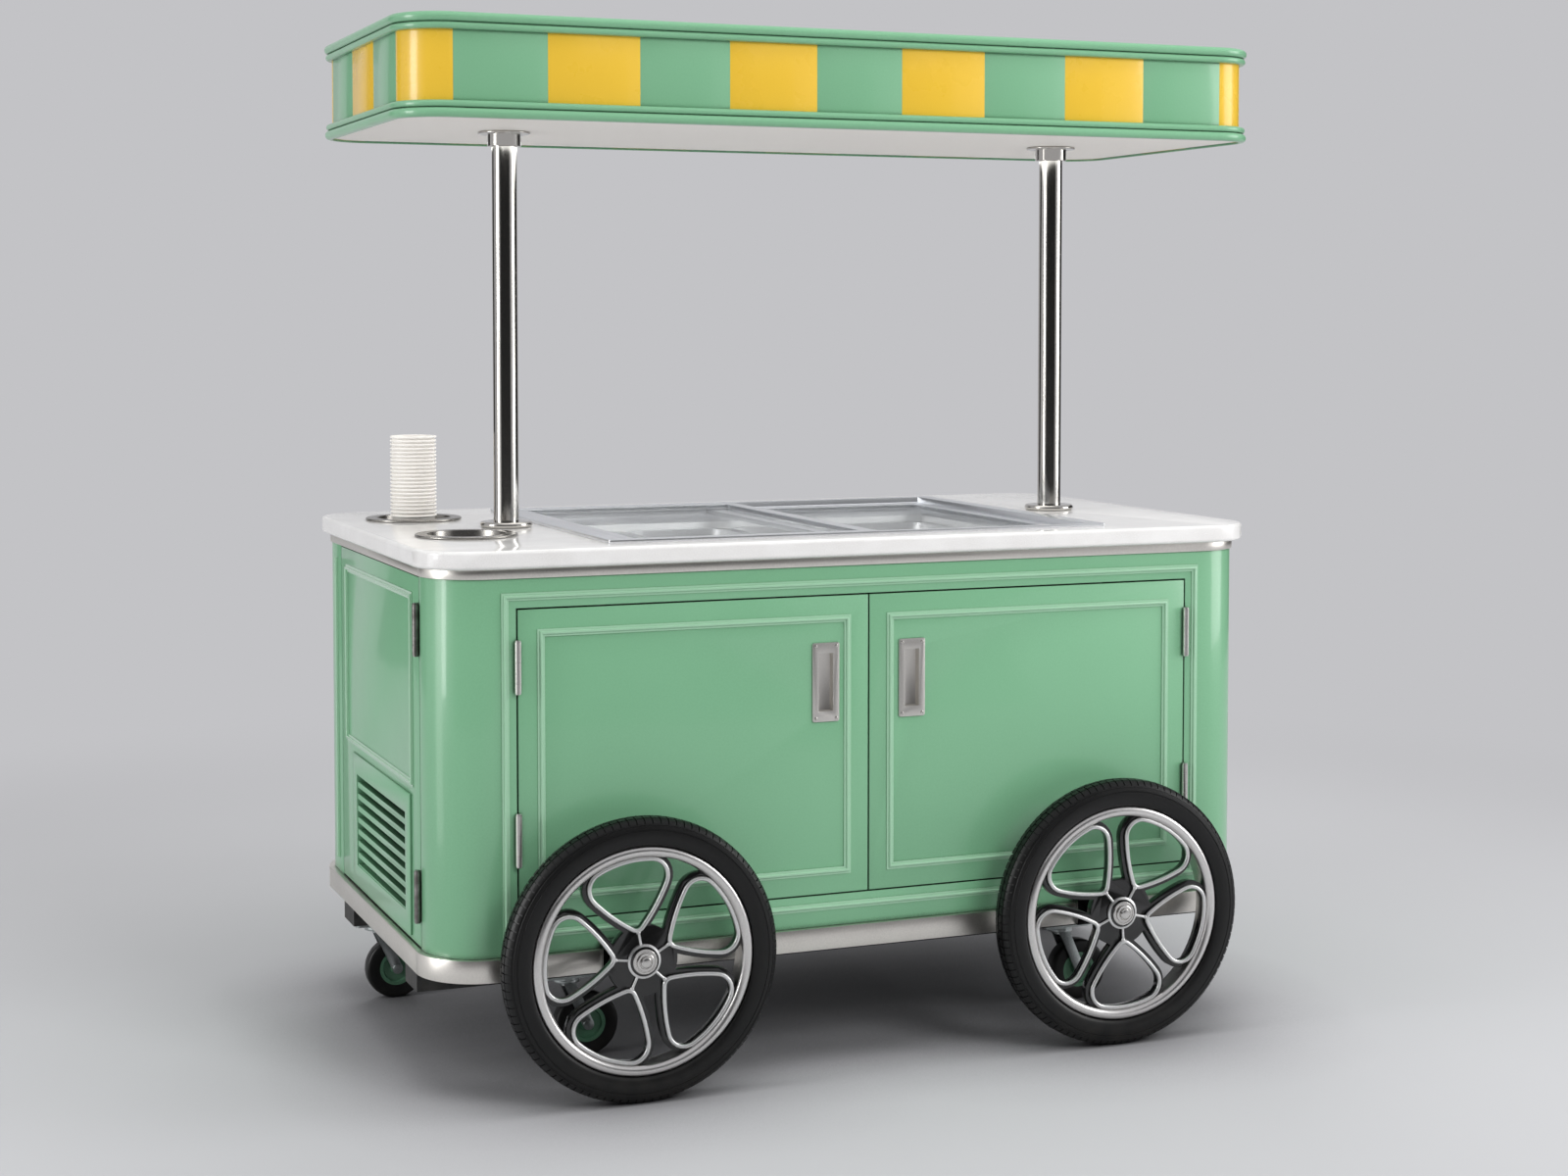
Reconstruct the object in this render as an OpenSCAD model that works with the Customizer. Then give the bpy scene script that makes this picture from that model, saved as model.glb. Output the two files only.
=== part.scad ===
// Ice cream push cart: a refrigerated cabinet with a stone countertop, two sliding
// glass lids over the pans, a striped canopy on two posts, two large spoked wheels
// on stub axles and four swivel casters.
// Millimetres, +Z up, the doors face -Y. The origin is on the ground, below the
// middle of the canopy's length and half way between the hub caps and the rear edge.

/* [Countertop] */
// Length of the countertop
counter_l = 1722; // [1660:1:1790]
// Width of the countertop, door side to serving side
counter_w = 1000; // [950:1:1060]
// Thickness of the countertop
counter_t = 34; // [26:1:44]
// Height of the countertop's top face above the ground
counter_z = 1000; // [970:1:1060]
// Plan radius of the countertop's corners
counter_r = 110; // [80:1:140]
// Radius of the countertop's eased edges
counter_edge_r = 7; // [3:0.5:12]

/* [Cabinet] */
// Overhang of the countertop past the cabinet's faces
cabinet_inset = 18; // [15:1:30]
// Plan radius of the cabinet's corners
cabinet_r = 106; // [70:1:108]
// Thickness of the cabinet's walls and doors
wall_t = 20; // [18:0.5:26]
// Height of the steel trim below the countertop
trim_h = 18; // [12:1:26]
// How far the trim stands proud of the cabinet
trim_proud = 4; // [2:0.5:8]
// Plan width of the trim ring that carries the countertop
trim_w = 38; // [28:1:60]
// Height of the steel skirt at the cabinet's foot
skirt_h = 42; // [36:1:60]
// How far the skirt stands proud of the cabinet
skirt_proud = 12; // [6:0.5:16]
// Width of the seams beside the end pieces of skirt and trim
seam = 0.6; // [0.4:0.1:1.5]
// Thickness of the inner floor and bulkhead
panel_t = 15; // [10:1:24]
// Distance of the bulkhead from the cold well
bulkhead_off = 24; // [10:1:40]
// Gap between the bulkhead and the cabinet's walls
bulkhead_gap = 3; // [2:0.5:6]

/* [Chassis] */
// Overall height of a caster, ground to plate top
caster_h = 165; // [158:1:185]
// Height of the two long bearers on the casters
bearer_h = 55; // [40:1:70]
// Width of the bearers
bearer_w = 90; // [86:1:110]
// Length of the bearers past the outer casters
bearer_end = 58; // [54:1:60]
// Width of the chassis rails and cross member
rail_w = 40; // [30:1:60]
// How far the rails sit inside the cabinet's outline
rail_inset = 2; // [1:0.5:5]

/* [Mouldings] */
// Width of the bead mouldings
bead_w = 14; // [10:0.5:18]
// Height of the bead mouldings above the panel
bead_h = 6; // [4:0.5:8]
// Distance of the face moulding outside the door opening
face_bead_off = 28; // [24:1:32]
// Distance of a door's moulding inside the door's edge
door_bead_off = 36; // [28:1:44]
// Distance of the rear and right end mouldings from the corner curves
plain_bead_off = 20; // [10:1:60]
// Distance of the rear and right end mouldings from skirt and trim
plain_bead_z = 30; // [20:1:80]

/* [Front doors] */
// Width of one door
door_w = 688.5; // [660:0.5:700]
// Distance of the doors' upper edge below the trim
door_head = 57; // [50:1:80]
// Height of the doors' lower edge above the cabinet's foot
door_up = 62; // [56:1:80]
// Gap round the doors
door_gap = 3; // [2.4:0.1:4]
// Width of a pull's face plate
pull_w = 55; // [46:1:64]
// Height of a pull's face plate
pull_h = 150; // [120:1:170]
// Plan radius of a pull's corners
pull_r = 4; // [2:0.5:8]
// Thickness of a pull's face plate
pull_t = 3; // [2:0.5:5]
// Width of a pull's finger recess
recess_w = 30; // [24:1:36]
// Height of a pull's finger recess
recess_h = 110; // [90:1:116]
// Depth of a pull's finger recess
recess_d = 14; // [10:0.5:15]
// Sheet thickness of the pull's tray
tray_t = 1.5; // [1:0.1:2]
// Clearance of the tray in its pocket
tray_gap = 0.3; // [0.2:0.1:0.6]
// Distance of a pull's middle from the door's free edge
pull_off = 88; // [80:1:110]
// Distance of a pull's middle below the door's upper edge
pull_down = 163; // [140:1:260]

/* [Service door] */
// Distance of the service door's front edge from the cabinet's front face
service_front = 115; // [110:1:130]
// Distance of the service door's rear edge from the cabinet's rear face
service_rear = 184; // [150:1:200]
// Height of the service door's panel moulding
service_bead_h = 361; // [320:1:370]
// Distance of the panel moulding below the door's upper edge
service_bead_off = 32; // [24:1:44]
// Distance of the panel moulding inside the door's side edges
service_bead_in = 48.5; // [30:0.5:70]
// Width of the louvre grille's opening
grille_w = 420; // [380:1:460]
// Height of the louvre grille's opening
grille_h = 191; // [180:1:200]
// Height of the grille's middle above the service door's lower edge
grille_up = 140; // [132:1:150]
// Distance of the grille's middle from the service door's middle
grille_off = 22; // [0:1:40]
// Width of the grille's flange round its opening
grille_flange = 36; // [24:1:40]
// Wall thickness of the grille's sleeve
sleeve_t = 3; // [2:0.5:4]
// Thickness of the grille's flange
grille_t = 4; // [3:0.5:6]
// Number of louvre blades
louvre_n = 8; // [5:1:10]
// Height of a louvre blade's outer edge
louvre_face = 11; // [8:0.5:13]
// Thickness of a louvre blade at its inner edge
louvre_t = 4; // [3:0.5:6]
// Slope of the louvre blades, down into the cabinet
louvre_tilt = 15; // [5:1:25]

/* [Hinges] */
// Length of a hinge barrel
hinge_l = 93; // [70:1:110]
// Radius of a hinge barrel
hinge_r = 6.25; // [5.5:0.05:7]
// Radius of a hinge pin
pin_r = 3; // [2:0.1:3.5]
// Radial clearance of a hinge knuckle on its pin
pin_gap = 0.05; // [0.02:0.01:0.09]
// Clearance between a barrel and the panels behind it
barrel_gap = 0.4; // [0.3:0.05:1]
// Thickness of a hinge leaf
leaf_t = 1; // [0.8:0.1:1]
// Gap between neighbouring knuckles
knuckle_gap = 0.4; // [0.3:0.05:0.8]
// Number of knuckles on a hinge
knuckle_n = 5; // [3:2:7]
// Distance of the upper front hinges' middle below the door's upper edge
hinge_down = 103; // [70:1:180]
// Height of the lower front hinges' middle above the door's lower edge
hinge_up = 150; // [80:1:180]
// Distance of the service door's hinges from its upper and lower edges
service_hinge_off = 95; // [70:1:140]

/* [Display] */
// Distance of the display's middle right of the cabinet's middle
display_x = 19.5; // [10:0.5:24]
// Distance of the display opening from the countertop's front edge
display_front = 104; // [96:1:130]
// Distance of the display opening from the countertop's rear edge
display_rear = 139; // [110:1:160]
// Clear length of the display opening
display_l = 971; // [940:1:980]
// Width of the lid track's bars
track_w = 34; // [32:1:40]
// Height of the lid track above the countertop
track_h = 6; // [4:0.5:10]
// Plan radius of the lid track's corners
track_r = 3; // [1:0.5:6]
// Width of each of the track's two ledges
lane_w = 9; // [7:0.5:10]
// Gap between the lid track and the countertop's cut-out
track_gap = 1; // [0.5:0.1:2]
// How far the track's flange overlaps the countertop
track_lap = 12; // [8:0.5:13]
// Thickness of a sliding lid
lid_t = 10; // [8:0.5:12]
// Running gap under and beside the lids
lid_gap = 0.5; // [0.3:0.1:1]
// Gap between the lower lid and the upper lid
lid_air = 1; // [0.6:0.1:2]
// Width of a lid's frame bars
lid_bar = 30; // [22:1:40]
// Overlap of the two closed lids
lid_lap = 70; // [40:1:100]
// Thickness of the lid glass
glass_t = 5; // [4:0.5:6]
// Depth of the glass in the lid frame's groove
glass_seat = 8; // [5:0.5:12]

/* [Cold well] */
// Thickness of the cold well's insulated walls
well_wall = 30; // [26:1:40]
// Inside depth of the cold well below the countertop
well_depth = 170; // [160:1:200]
// Depth of the pan bars' seat below the countertop's underside
rack_down = 23; // [18:1:30]
// Height of the pan bars
rack_t = 8; // [6:0.5:10]
// Clearance of the pan bars in the well
rack_gap = 1; // [0.5:0.1:2]
// Pans along the cart
pan_cols = 4; // [3:1:5]
// Pans across the cart
pan_rows = 2; // [2:1:3]
// Gap between the rims of neighbouring pans
pan_gap = 4; // [3:0.5:8]
// Width of a pan's rim
pan_lip = 9; // [7:0.5:12]
// Depth of a pan
pan_depth = 116; // [90:1:125]
// Wall thickness of a pan
pan_wall = 2; // [1.5:0.1:3]
// Plan radius of a pan's corners
pan_r = 46; // [20:1:48]
// Clearance of a pan between the bars
pan_fit = 1; // [0.6:0.1:2]

/* [Cup wells] */
// Distance of the cup wells' middles from the countertop's left edge
cup_x = 160; // [150:1:170]
// Distance of the rear cup well behind the cabinet's middle
cup_y_rear = 255; // [235:1:270]
// Distance of the front cup well in front of the cabinet's middle
cup_y_front = 169; // [150:1:240]
// Bore radius of a cup well
cup_bore_r = 75; // [60:0.5:78]
// Outer radius of a cup well's flange
cup_flange_r = 98; // [90:0.5:104]
// Thickness of a cup well's flange
cup_flange_t = 5; // [3:0.5:8]
// Wall thickness of a cup well
cup_wall = 2; // [1.5:0.1:3]
// Depth of a cup well below the countertop's top face
cup_depth = 84; // [70:1:110]
// Clearance of a cup well in the countertop
cup_gap = 0.5; // [0.3:0.1:1]

/* [Paper cups] */
// Radius of a cup's rolled rim
cup_rim_r = 47.5; // [40:0.5:52]
// Radius of a cup's base
cup_base_r = 33; // [26:0.5:38]
// Height of one cup
cup_h = 95; // [80:1:110]
// Number of nested cups
cup_n = 22; // [8:1:26]
// Rise from one nested rim to the next
cup_pitch = 7.7; // [6:0.1:9]
// Thickness of a cup's rolled rim
cup_rim_t = 4.6; // [3:0.1:5.5]
// Wall thickness of a cup
cup_skin = 1.2; // [0.8:0.1:2]
// Gap between the stack and the cup well's floor
cup_rest = 0.3; // [0.2:0.1:0.5]

/* [Canopy] */
// Length of the canopy over its rails
canopy_l = 1808; // [1740:1:1880]
// Width of the canopy over its rails
canopy_w = 753; // [680:1:820]
// Height of the canopy's underside above the ground
canopy_z = 1778; // [1700:1:1860]
// Height of the canopy
canopy_h = 190; // [160:1:220]
// Plan radius of the canopy's corners over its rails
canopy_r = 100; // [80:1:130]
// Shift of the canopy's middle right of the cabinet's middle
canopy_x = 33; // [28:0.5:36]
// Height of a canopy rail
rail_h = 31; // [24:0.5:40]
// How far a canopy rail stands proud of the fascia
rail_proud = 15; // [10:0.5:20]
// Thickness of the fascia
fascia_t = 5; // [3:0.5:8]
// Thickness of the soffit and roof panels
soffit_t = 8; // [5:0.5:12]
// Depth of the soffit inside the lower rail
soffit_up = 4; // [2:0.5:8]
// Flat panels along the canopy's front and rear
stripe_n_long = 9; // [5:2:13]
// Flat panels along the canopy's ends
stripe_n_end = 3; // [3:2:5]
// Distance of the left post's axis from the display opening
post_off = 109; // [96:1:120]
// Radius of a post
post_r = 25; // [20:0.5:27]
// Wall thickness of a post
post_wall = 2.5; // [2:0.1:4]
// Radius of a post's base flange
flange_r = 52.5; // [42:0.5:54]
// Thickness of a post's base flange
flange_t = 12; // [8:0.5:16]
// Radius of a post's upper collar
collar_r = 33; // [30:0.5:36]
// Height of a post's upper collar
collar_h = 24; // [16:1:36]
// Radius of the disc above the upper collar
disc_r = 52; // [44:0.5:60]
// Thickness of the disc above the upper collar
disc_t = 5; // [3:0.5:8]

/* [Large wheels] */
// Diameter of the large wheels
wheel_d = 520; // [512:1:528]
// Half the distance between the large wheels' middles
wheel_x = 490; // [470:1:510]
// Distance of the wheels' mid-plane from the cabinet's face
wheel_off = 93; // [90:0.5:110]
// Width of a tyre
tyre_w = 56; // [48:1:64]
// Height of a tyre's section
tyre_h = 50; // [44:1:56]
// Radial height of a rim
rim_h = 16; // [12:0.5:20]
// Width of a rim
rim_w = 52; // [44:1:54]
// Number of petal loops
petal_n = 5; // [5:1:6]
// Turn of the left wheel's petals from upright
turn_left = 11; // [0:1:71]
// Turn of the right wheel's petals from upright
turn_right = 40; // [0:1:71]
// Radius of the round bar in the petal loops
bar_r = 4.2; // [3:0.1:4.5]
// Radius of the stems between the hub and the petal loops
stem_r = 2.6; // [2:0.1:3]
// How far the welds stand proud of the petal loops' bar
weld_proud = 0.3; // [0.2:0.05:0.6]
// Half the gap between two lengths of bar inside a weld
weld_gap = 0.35; // [0.2:0.05:0.6]
// Gap between the petal loops and the rim
petal_rim_gap = 4.5; // [3:0.5:8]
// Half the width of a petal loop at its broadest, along the bar's middle
petal_half_w = 75; // [60:1:78]
// Radius of a petal loop's outer corners
petal_corner_r = 32; // [26:0.5:38]
// Radius of a petal loop's tip
petal_tip_r = 14; // [10:0.5:18]
// Distance of a petal loop's tip from the axle
petal_tip_off = 58; // [54:0.5:66]
// Radius of a petal loop's bowed sides
petal_side_r = 330; // [260:1:600]
// Gap between the petal loops and the spider
loop_gap = 0.1; // [0.05:0.05:0.5]
// Thickness of the spider's spokes
spider_t = 16; // [10:0.5:16]
// Width of the spider's border outside the petal loops
spider_border = 12; // [8:0.5:14]
// Radius of the spider's middle disc
spider_disc_r = 52; // [46:0.5:53]
// Radius of the wheel hub
hub_r = 27; // [22:0.5:30]
// Length of the wheel hub
hub_l = 45; // [40:1:50]
// Thickness of the hub's closed outer end
hub_end = 6; // [4:0.5:8]
// Radius of the hub cap
cap_r = 23; // [18:0.5:26]
// Height of the hub cap
cap_h = 12; // [8:0.5:16]
// Radius of a stub axle
axle_r = 10; // [8:0.5:14]
// Radial clearance of a hub on its stub axle
axle_gap = 0.05; // [0.02:0.01:0.09]
// Gap between a hub and the shoulder of its stub axle
hub_gap = 0.4; // [0.3:0.05:1]
// Radius of a stub axle's shoulder
shoulder_r = 22; // [16:0.5:26]
// Width of a stub axle's foot plate
foot_w = 96; // [80:1:120]
// Thickness of a stub axle's foot plate
foot_t = 10; // [8:0.5:14]
// Height of a stub axle's foot plate above the skirt
foot_up = 18; // [14:1:20]

/* [Casters] */
// Diameter of a caster wheel
caster_d = 125; // [110:1:130]
// Width of a caster wheel
caster_w = 32; // [26:1:38]
// Radius of a caster wheel's hub
caster_hub_r = 36; // [30:0.5:42]
// Thickness of the bond between a caster's hub and tyre
bond_t = 0.1; // [0.05:0.05:0.3]
// Trail of a caster's axle behind its king pin
caster_trail = 38; // [28:1:44]
// Half the distance between the rear king pins
caster_x_rear = 778; // [720:1:780]
// Half the distance between the front king pins
caster_x_front = 534; // [500:1:560]
// Distance of the front king pins from the cabinet's front face
caster_off_front = 225; // [200:1:240]
// Distance of the rear king pins from the cabinet's rear face
caster_off_rear = 197; // [170:1:210]
// Length of a caster's top plate
plate_l = 105; // [90:1:115]
// Width of a caster's top plate
plate_w = 85; // [70:1:86]
// Plan radius of a caster's top plate corners
plate_r = 8; // [3:0.5:12]
// Thickness of a caster's top plate
plate_t = 5; // [4:0.5:7]
// Radius of the swivel bearing under the top plate
bearing_r = 26; // [22:0.5:30]
// Height of the swivel bearing
bearing_h = 8; // [6:0.5:12]
// Radius of a king pin
king_r = 6; // [5:0.1:8]
// Radial clearance of the fork on its king pin
king_gap = 0.05; // [0.02:0.01:0.09]
// Gap between the swivel bearing and the fork, and between the fork and the nut
swivel_gap = 0.4; // [0.3:0.05:1]
// Thickness of the fork's crown
crown_t = 6; // [5:0.5:8]
// Thickness of the fork's cheeks
cheek_t = 4; // [3:0.5:6]
// Gap between a caster wheel and the fork's cheeks
cheek_gap = 2; // [1:0.5:3]
// Radius of a caster's axle bolt
bolt_r = 5; // [4:0.1:6]
// Radial clearance of a caster wheel on its axle bolt
bolt_gap = 0.05; // [0.02:0.01:0.09]
// Radius of the nuts on king pin and axle bolt
nut_r = 10; // [8:0.5:12]
// Height of the nut on the king pin
nut_h = 7; // [5:0.5:9]

/* [Condensing unit] */
// Gap between the service door and the condenser
condenser_off = 22; // [16:1:30]
// Depth of the condenser's finned core
core_d = 50; // [40:1:60]
// Width of the condenser
core_w = 380; // [320:1:400]
// Height of the condenser
core_h = 260; // [240:1:280]
// Number of fins on the condenser
fin_n = 24; // [10:1:30]
// Thickness of a condenser fin
fin_t = 5; // [3:0.5:6]
// Depth of the grooves between the fins
fin_d = 12; // [6:0.5:16]
// Depth of the fan's shroud
shroud_d = 60; // [50:1:70]
// Sheet thickness of the fan's shroud
shroud_t = 6; // [4:0.5:10]
// Radius of the fan
fan_r = 108; // [90:1:112]
// Gap between the fan's tips and the shroud
fan_gap = 6; // [4:0.5:7]
// Number of fan blades
blade_n = 5; // [3:1:7]
// Pitch of the fan blades
blade_tilt = 32; // [20:1:40]
// Radius of the fan's hub
fan_hub_r = 26; // [20:1:32]
// Length of the fan's hub
fan_hub_l = 22; // [18:1:26]
// Radius of the fan motor's shaft
shaft_r = 4; // [3:0.1:6]
// Radial clearance of the fan on the shaft
shaft_gap = 0.05; // [0.02:0.01:0.09]
// Radius of the fan motor
motor_r = 38; // [30:1:46]
// Length of the fan motor
motor_l = 62; // [50:1:66]
// Gap between the fan's hub and the motor
motor_gap = 6; // [4:0.5:10]
// Radius of the compressor's can
comp_r = 70; // [60:1:75]
// Height of the compressor's can
comp_h = 196; // [160:1:230]
// Distance of the compressor behind the fan's axis
comp_y = 330; // [300:1:340]
// Gap between the compressor's can and the bulkhead
comp_gap = 41; // [20:1:50]

/* [Hidden] */
$fn = 64;

mint = "#7DC096";
yellow = "#F5C73A";
steel = "silver";
left = -1;
right = 1;
front = -1;
rear = 1;

// Heights, from the ground up
skirt_z = caster_h + bearer_h;
foot_z = skirt_z + skirt_h;
counter_z0 = counter_z - counter_t;
trim_z = counter_z0 - trim_h;
cabinet_h = trim_z - foot_z;
floor_z = foot_z + panel_t;

// Plan sizes
cabinet_l = counter_l - 2 * cabinet_inset;
cabinet_w = counter_w - 2 * cabinet_inset;
room_l = cabinet_l - 2 * wall_t;
room_w = cabinet_w - 2 * wall_t;
face_y = -cabinet_w / 2;
end_x = -cabinet_l / 2;

// The cabinet's middle in the part's frame
wheel_reach = wheel_off + hub_l / 2 + cap_h;
cart_x = -canopy_x;
cart_y = (cabinet_w / 2 + wheel_reach - counter_w / 2) / 2;

// Front doors
door_z = foot_z + door_up;
door_h = cabinet_h - door_up - door_head;
door_out = 1.5 * door_gap + door_w;
door_hinge_x = door_out - door_gap / 2;
pull_y = door_h / 2 - pull_down;
tray_w = recess_w + 2 * tray_t;
tray_h = recess_h + 2 * tray_t;
tray_d = recess_d + tray_t;

// Service door
service_w = cabinet_w - service_front - service_rear;
service_y = (service_front - service_rear) / 2;
service_h = cabinet_h - 2 * door_gap;
service_z = foot_z + door_gap;
grille_y = grille_up - service_h / 2;

// Hinges
barrel_out = hinge_r + barrel_gap;
leaf_reach = barrel_out + wall_t - 2;
knuckle_l = (hinge_l - (knuckle_n - 1) * knuckle_gap) / knuckle_n;

// Lid track and lids
display_w = counter_w - display_front - display_rear;
display_y = (display_front - display_rear) / 2;
cutout_l = display_l + 2 * (track_w - track_lap);
cutout_w = display_w + 2 * (track_w - track_lap);
lane_lo_z = counter_z + track_h - 2 * lid_t - lid_air - 3 * lid_gap - 1;
lane_hi_z = lane_lo_z + lid_gap + lid_t + lid_air;
lid_l = (display_l + lid_lap) / 2 - lid_gap;
lid_lo_w = display_w + 2 * (lane_w - lid_gap);
lid_hi_w = display_w + 2 * (2 * lane_w - lid_gap);

// Cold well and pans
well_z = counter_z0 - well_depth;
rack_z = counter_z0 - rack_down;
rack_l = display_l - 2 * rack_gap;
rack_w = display_w - 2 * rack_gap;
pan_pitch_x = rack_l / pan_cols;
pan_pitch_y = rack_w / pan_rows;
pan_l = pan_pitch_x - pan_gap - 2 * pan_lip;
pan_w = pan_pitch_y - pan_gap - 2 * pan_lip;
well_ledge = rack_gap + pan_gap / 2 + pan_lip - pan_fit;

// Cup wells and cups
cup_well_x = -counter_l / 2 + cup_x;
cup_floor_z = counter_z - cup_depth;

// Canopy; the posts stand evenly about its middle
post_x = canopy_x - display_x + display_l / 2 + post_off;
fascia_l = canopy_l - 2 * rail_proud;
fascia_w = canopy_w - 2 * rail_proud;
fascia_r = canopy_r - rail_proud;
stripe_l = (fascia_l - 2 * fascia_r) / stripe_n_long;
stripe_w = (fascia_w - 2 * fascia_r) / stripe_n_end;
soffit_z = canopy_z + soffit_up;
fascia_h = canopy_h - soffit_up;
roof_z = canopy_z + canopy_h - soffit_t;

// Large wheels; z runs outwards along the axle from the wheel's mid-plane
wheel_r = wheel_d / 2;
bead_seat_r = wheel_r - tyre_h;
rim_in_r = bead_seat_r - rim_h;
spider_z = -3;
loop_z = spider_z + spider_t + bar_r + weld_proud + loop_gap;
hub_z = -hub_l / 2;

// Petal loop: tangent arcs round a tip, two corners, two bowed sides and the outer arc
petal_out_r = rim_in_r - petal_rim_gap - bar_r;
petal_tip = [0, petal_tip_off + petal_tip_r];
petal_corner_x = petal_half_w - petal_corner_r;
petal_corner = [petal_corner_x, sqrt(pow(petal_out_r - petal_corner_r, 2) - pow(petal_corner_x, 2))];
petal_side = inner_tangent(petal_tip, petal_side_r - petal_tip_r,
                           petal_corner, petal_side_r - petal_corner_r);
petal_a0 = bearing(petal_tip - petal_side);
petal_a1 = bearing(petal_corner - petal_side);
petal_a2 = bearing(petal_corner);
// Each arc is a centre, a radius, a start angle and a sweep
petal_arcs = [
  [petal_side, petal_side_r, petal_a0, petal_a1 - petal_a0],
  [petal_corner, petal_corner_r, petal_a1, petal_a2 - petal_a1],
  [[0, 0], petal_out_r, petal_a2, 180 - 2 * petal_a2],
  [flip(petal_corner), petal_corner_r, 180 - petal_a2, petal_a2 - petal_a1],
  [flip(petal_side), petal_side_r, 180 - petal_a1, petal_a1 - petal_a0],
  [petal_tip, petal_tip_r, 180 - petal_a0, 180 + 2 * petal_a0]
];
petal_steps = 8;

// Casters
caster_y_front = caster_off_front - cabinet_w / 2;
caster_y_rear = cabinet_w / 2 - caster_off_rear;
plate_z = caster_h - plate_t;
crown_z = plate_z - bearing_h - swivel_gap - crown_t;
cheek_y = caster_w / 2 + cheek_gap;

// Condensing unit
bay_x = end_x + wall_t;
core_x = bay_x + condenser_off;
shroud_x = core_x + core_d;
fan_y = service_y - grille_off;
fan_z = floor_z + core_h / 2;
fan_x = shroud_x + shroud_d - shroud_t / 2;
motor_x = fan_x + fan_hub_l / 2 + motor_gap;
bulkhead_x = display_x - display_l / 2 - well_wall - bulkhead_off - panel_t;
comp_x = bulkhead_x - comp_gap - comp_r;

// Direction of a vector in degrees
function bearing(v) = atan2(v[1], v[0]);
// Mirror image of a point across the petal's axis
function flip(p) = [-p[0], p[1]];
// Left-hand meeting point of two circles
function inner_tangent(a, ra, b, rb) =
  let (d = norm(b - a), u = (b - a) / d)
  let (s = (ra * ra - rb * rb + d * d) / (2 * d))
  let (h = sqrt(ra * ra - s * s))
  a + s * u + h * [-u[1], u[0]];
// Points along an arc whose radius grows by off
function arc_points(arc, off, n) = [
  for (i = [0 : n - 1])
    let (t = arc[2] + arc[3] * i / n)
    arc[0] + (arc[1] + off) * [cos(t), sin(t)]
];
// Outline of a petal loop's middle line, grown by off
function petal_outline(off) = [
  for (arc = petal_arcs)
    for (p = arc_points(arc, off, petal_steps)) p
];

// Moves a piece from the cabinet's middle to its place in the part
module on_cart() {
  translate([cart_x, cart_y, 0]) children();
}

// Rectangle with round corners
module round_rect(l, w, r) {
  square([l - 2 * r, w], center = true);
  square([l, w - 2 * r], center = true);
  for (sx = [left, right], sy = [front, rear])
    translate([sx * (l / 2 - r), sy * (w / 2 - r)]) circle(r);
}

// Upright block with round corners, standing on z = 0
module round_block(l, w, h, r) {
  linear_extrude(h) round_rect(l, w, r);
}

// Upright ring between a rounded outline and the same outline moved in by t
module round_ring(l, w, h, r, t) {
  linear_extrude(h) difference() {
    round_rect(l, w, r);
    round_rect(l - 2 * t, w - 2 * t, r - t);
  }
}

// Profile, x outwards and y up, swept round a rounded rectangle
module swept_rect(l, w, r) {
  for (turn = [0, 1]) rotate(180 * turn) {
    translate([l / 2, 0, 0]) rotate([90, 0, 0]) linear_extrude(w - 2 * r, center = true) children();
    translate([0, w / 2, 0]) rotate([90, 0, 90]) linear_extrude(l - 2 * r, center = true) children();
    translate([l / 2 - r, w / 2 - r, 0]) rotate_extrude(angle = 90) translate([r, 0]) children();
    translate([r - l / 2, w / 2 - r, 0]) rotate(90) rotate_extrude(angle = 90) translate([r, 0]) children();
  }
}

// Stand a panel's local frame, x right, y up and z out, on each face of the cabinet
module on_front() {
  translate([0, face_y, 0]) rotate([90, 0, 0]) children();
}
module on_rear() {
  translate([0, -face_y, 0]) rotate([90, 0, 180]) children();
}
module on_left_end() {
  translate([end_x, 0, 0]) rotate([90, 0, -90]) children();
}
module on_right_end() {
  translate([-end_x, 0, 0]) rotate([90, 0, 90]) children();
}

// Section of the bead moulding: a flat fillet with a round bead along its middle
module bead_profile() {
  bead_r = min(bead_w / 4, bead_h / 2);
  square([bead_w, bead_h / 3]);
  translate([bead_w / 2 - bead_r, 0]) square([2 * bead_r, bead_h - bead_r]);
  translate([bead_w / 2, bead_h - bead_r]) circle(bead_r);
}

// One mitred side of a moulding: outer edge on y = 0
module mitred_side(l) {
  intersection() {
    rotate([90, 0, 90]) linear_extrude(l, center = true) bead_profile();
    linear_extrude(bead_h)
      polygon([[-l / 2, 0], [l / 2, 0], [l / 2 - bead_w, bead_w], [bead_w - l / 2, bead_w]]);
  }
}

// Rectangular moulding, centred
module bead_frame(w, h) {
  for (turn = [0, 180]) {
    rotate(turn) translate([0, -h / 2, 0]) mitred_side(w);
    rotate(turn + 90) translate([0, -w / 2, 0]) mitred_side(h);
  }
}

// Chassis: a perimeter rail, a cross member and the two bearers on the casters
module chassis_frame() {
  frame_l = cabinet_l - 2 * rail_inset;
  frame_w = cabinet_w - 2 * rail_inset;
  bearer_l = 2 * (caster_x_rear + bearer_end);
  color("dimgray") on_cart() {
    translate([0, 0, skirt_z]) {
      round_ring(frame_l, frame_w, skirt_h, cabinet_r - rail_inset, rail_w);
      translate([-rail_w / 2, -frame_w / 2 + rail_w / 2, 0]) cube([rail_w, frame_w - rail_w, skirt_h]);
    }
    for (y = [caster_y_front, caster_y_rear])
      translate([-bearer_l / 2, y - bearer_w / 2, caster_h]) cube([bearer_l, bearer_w, bearer_h]);
  }
}

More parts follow.
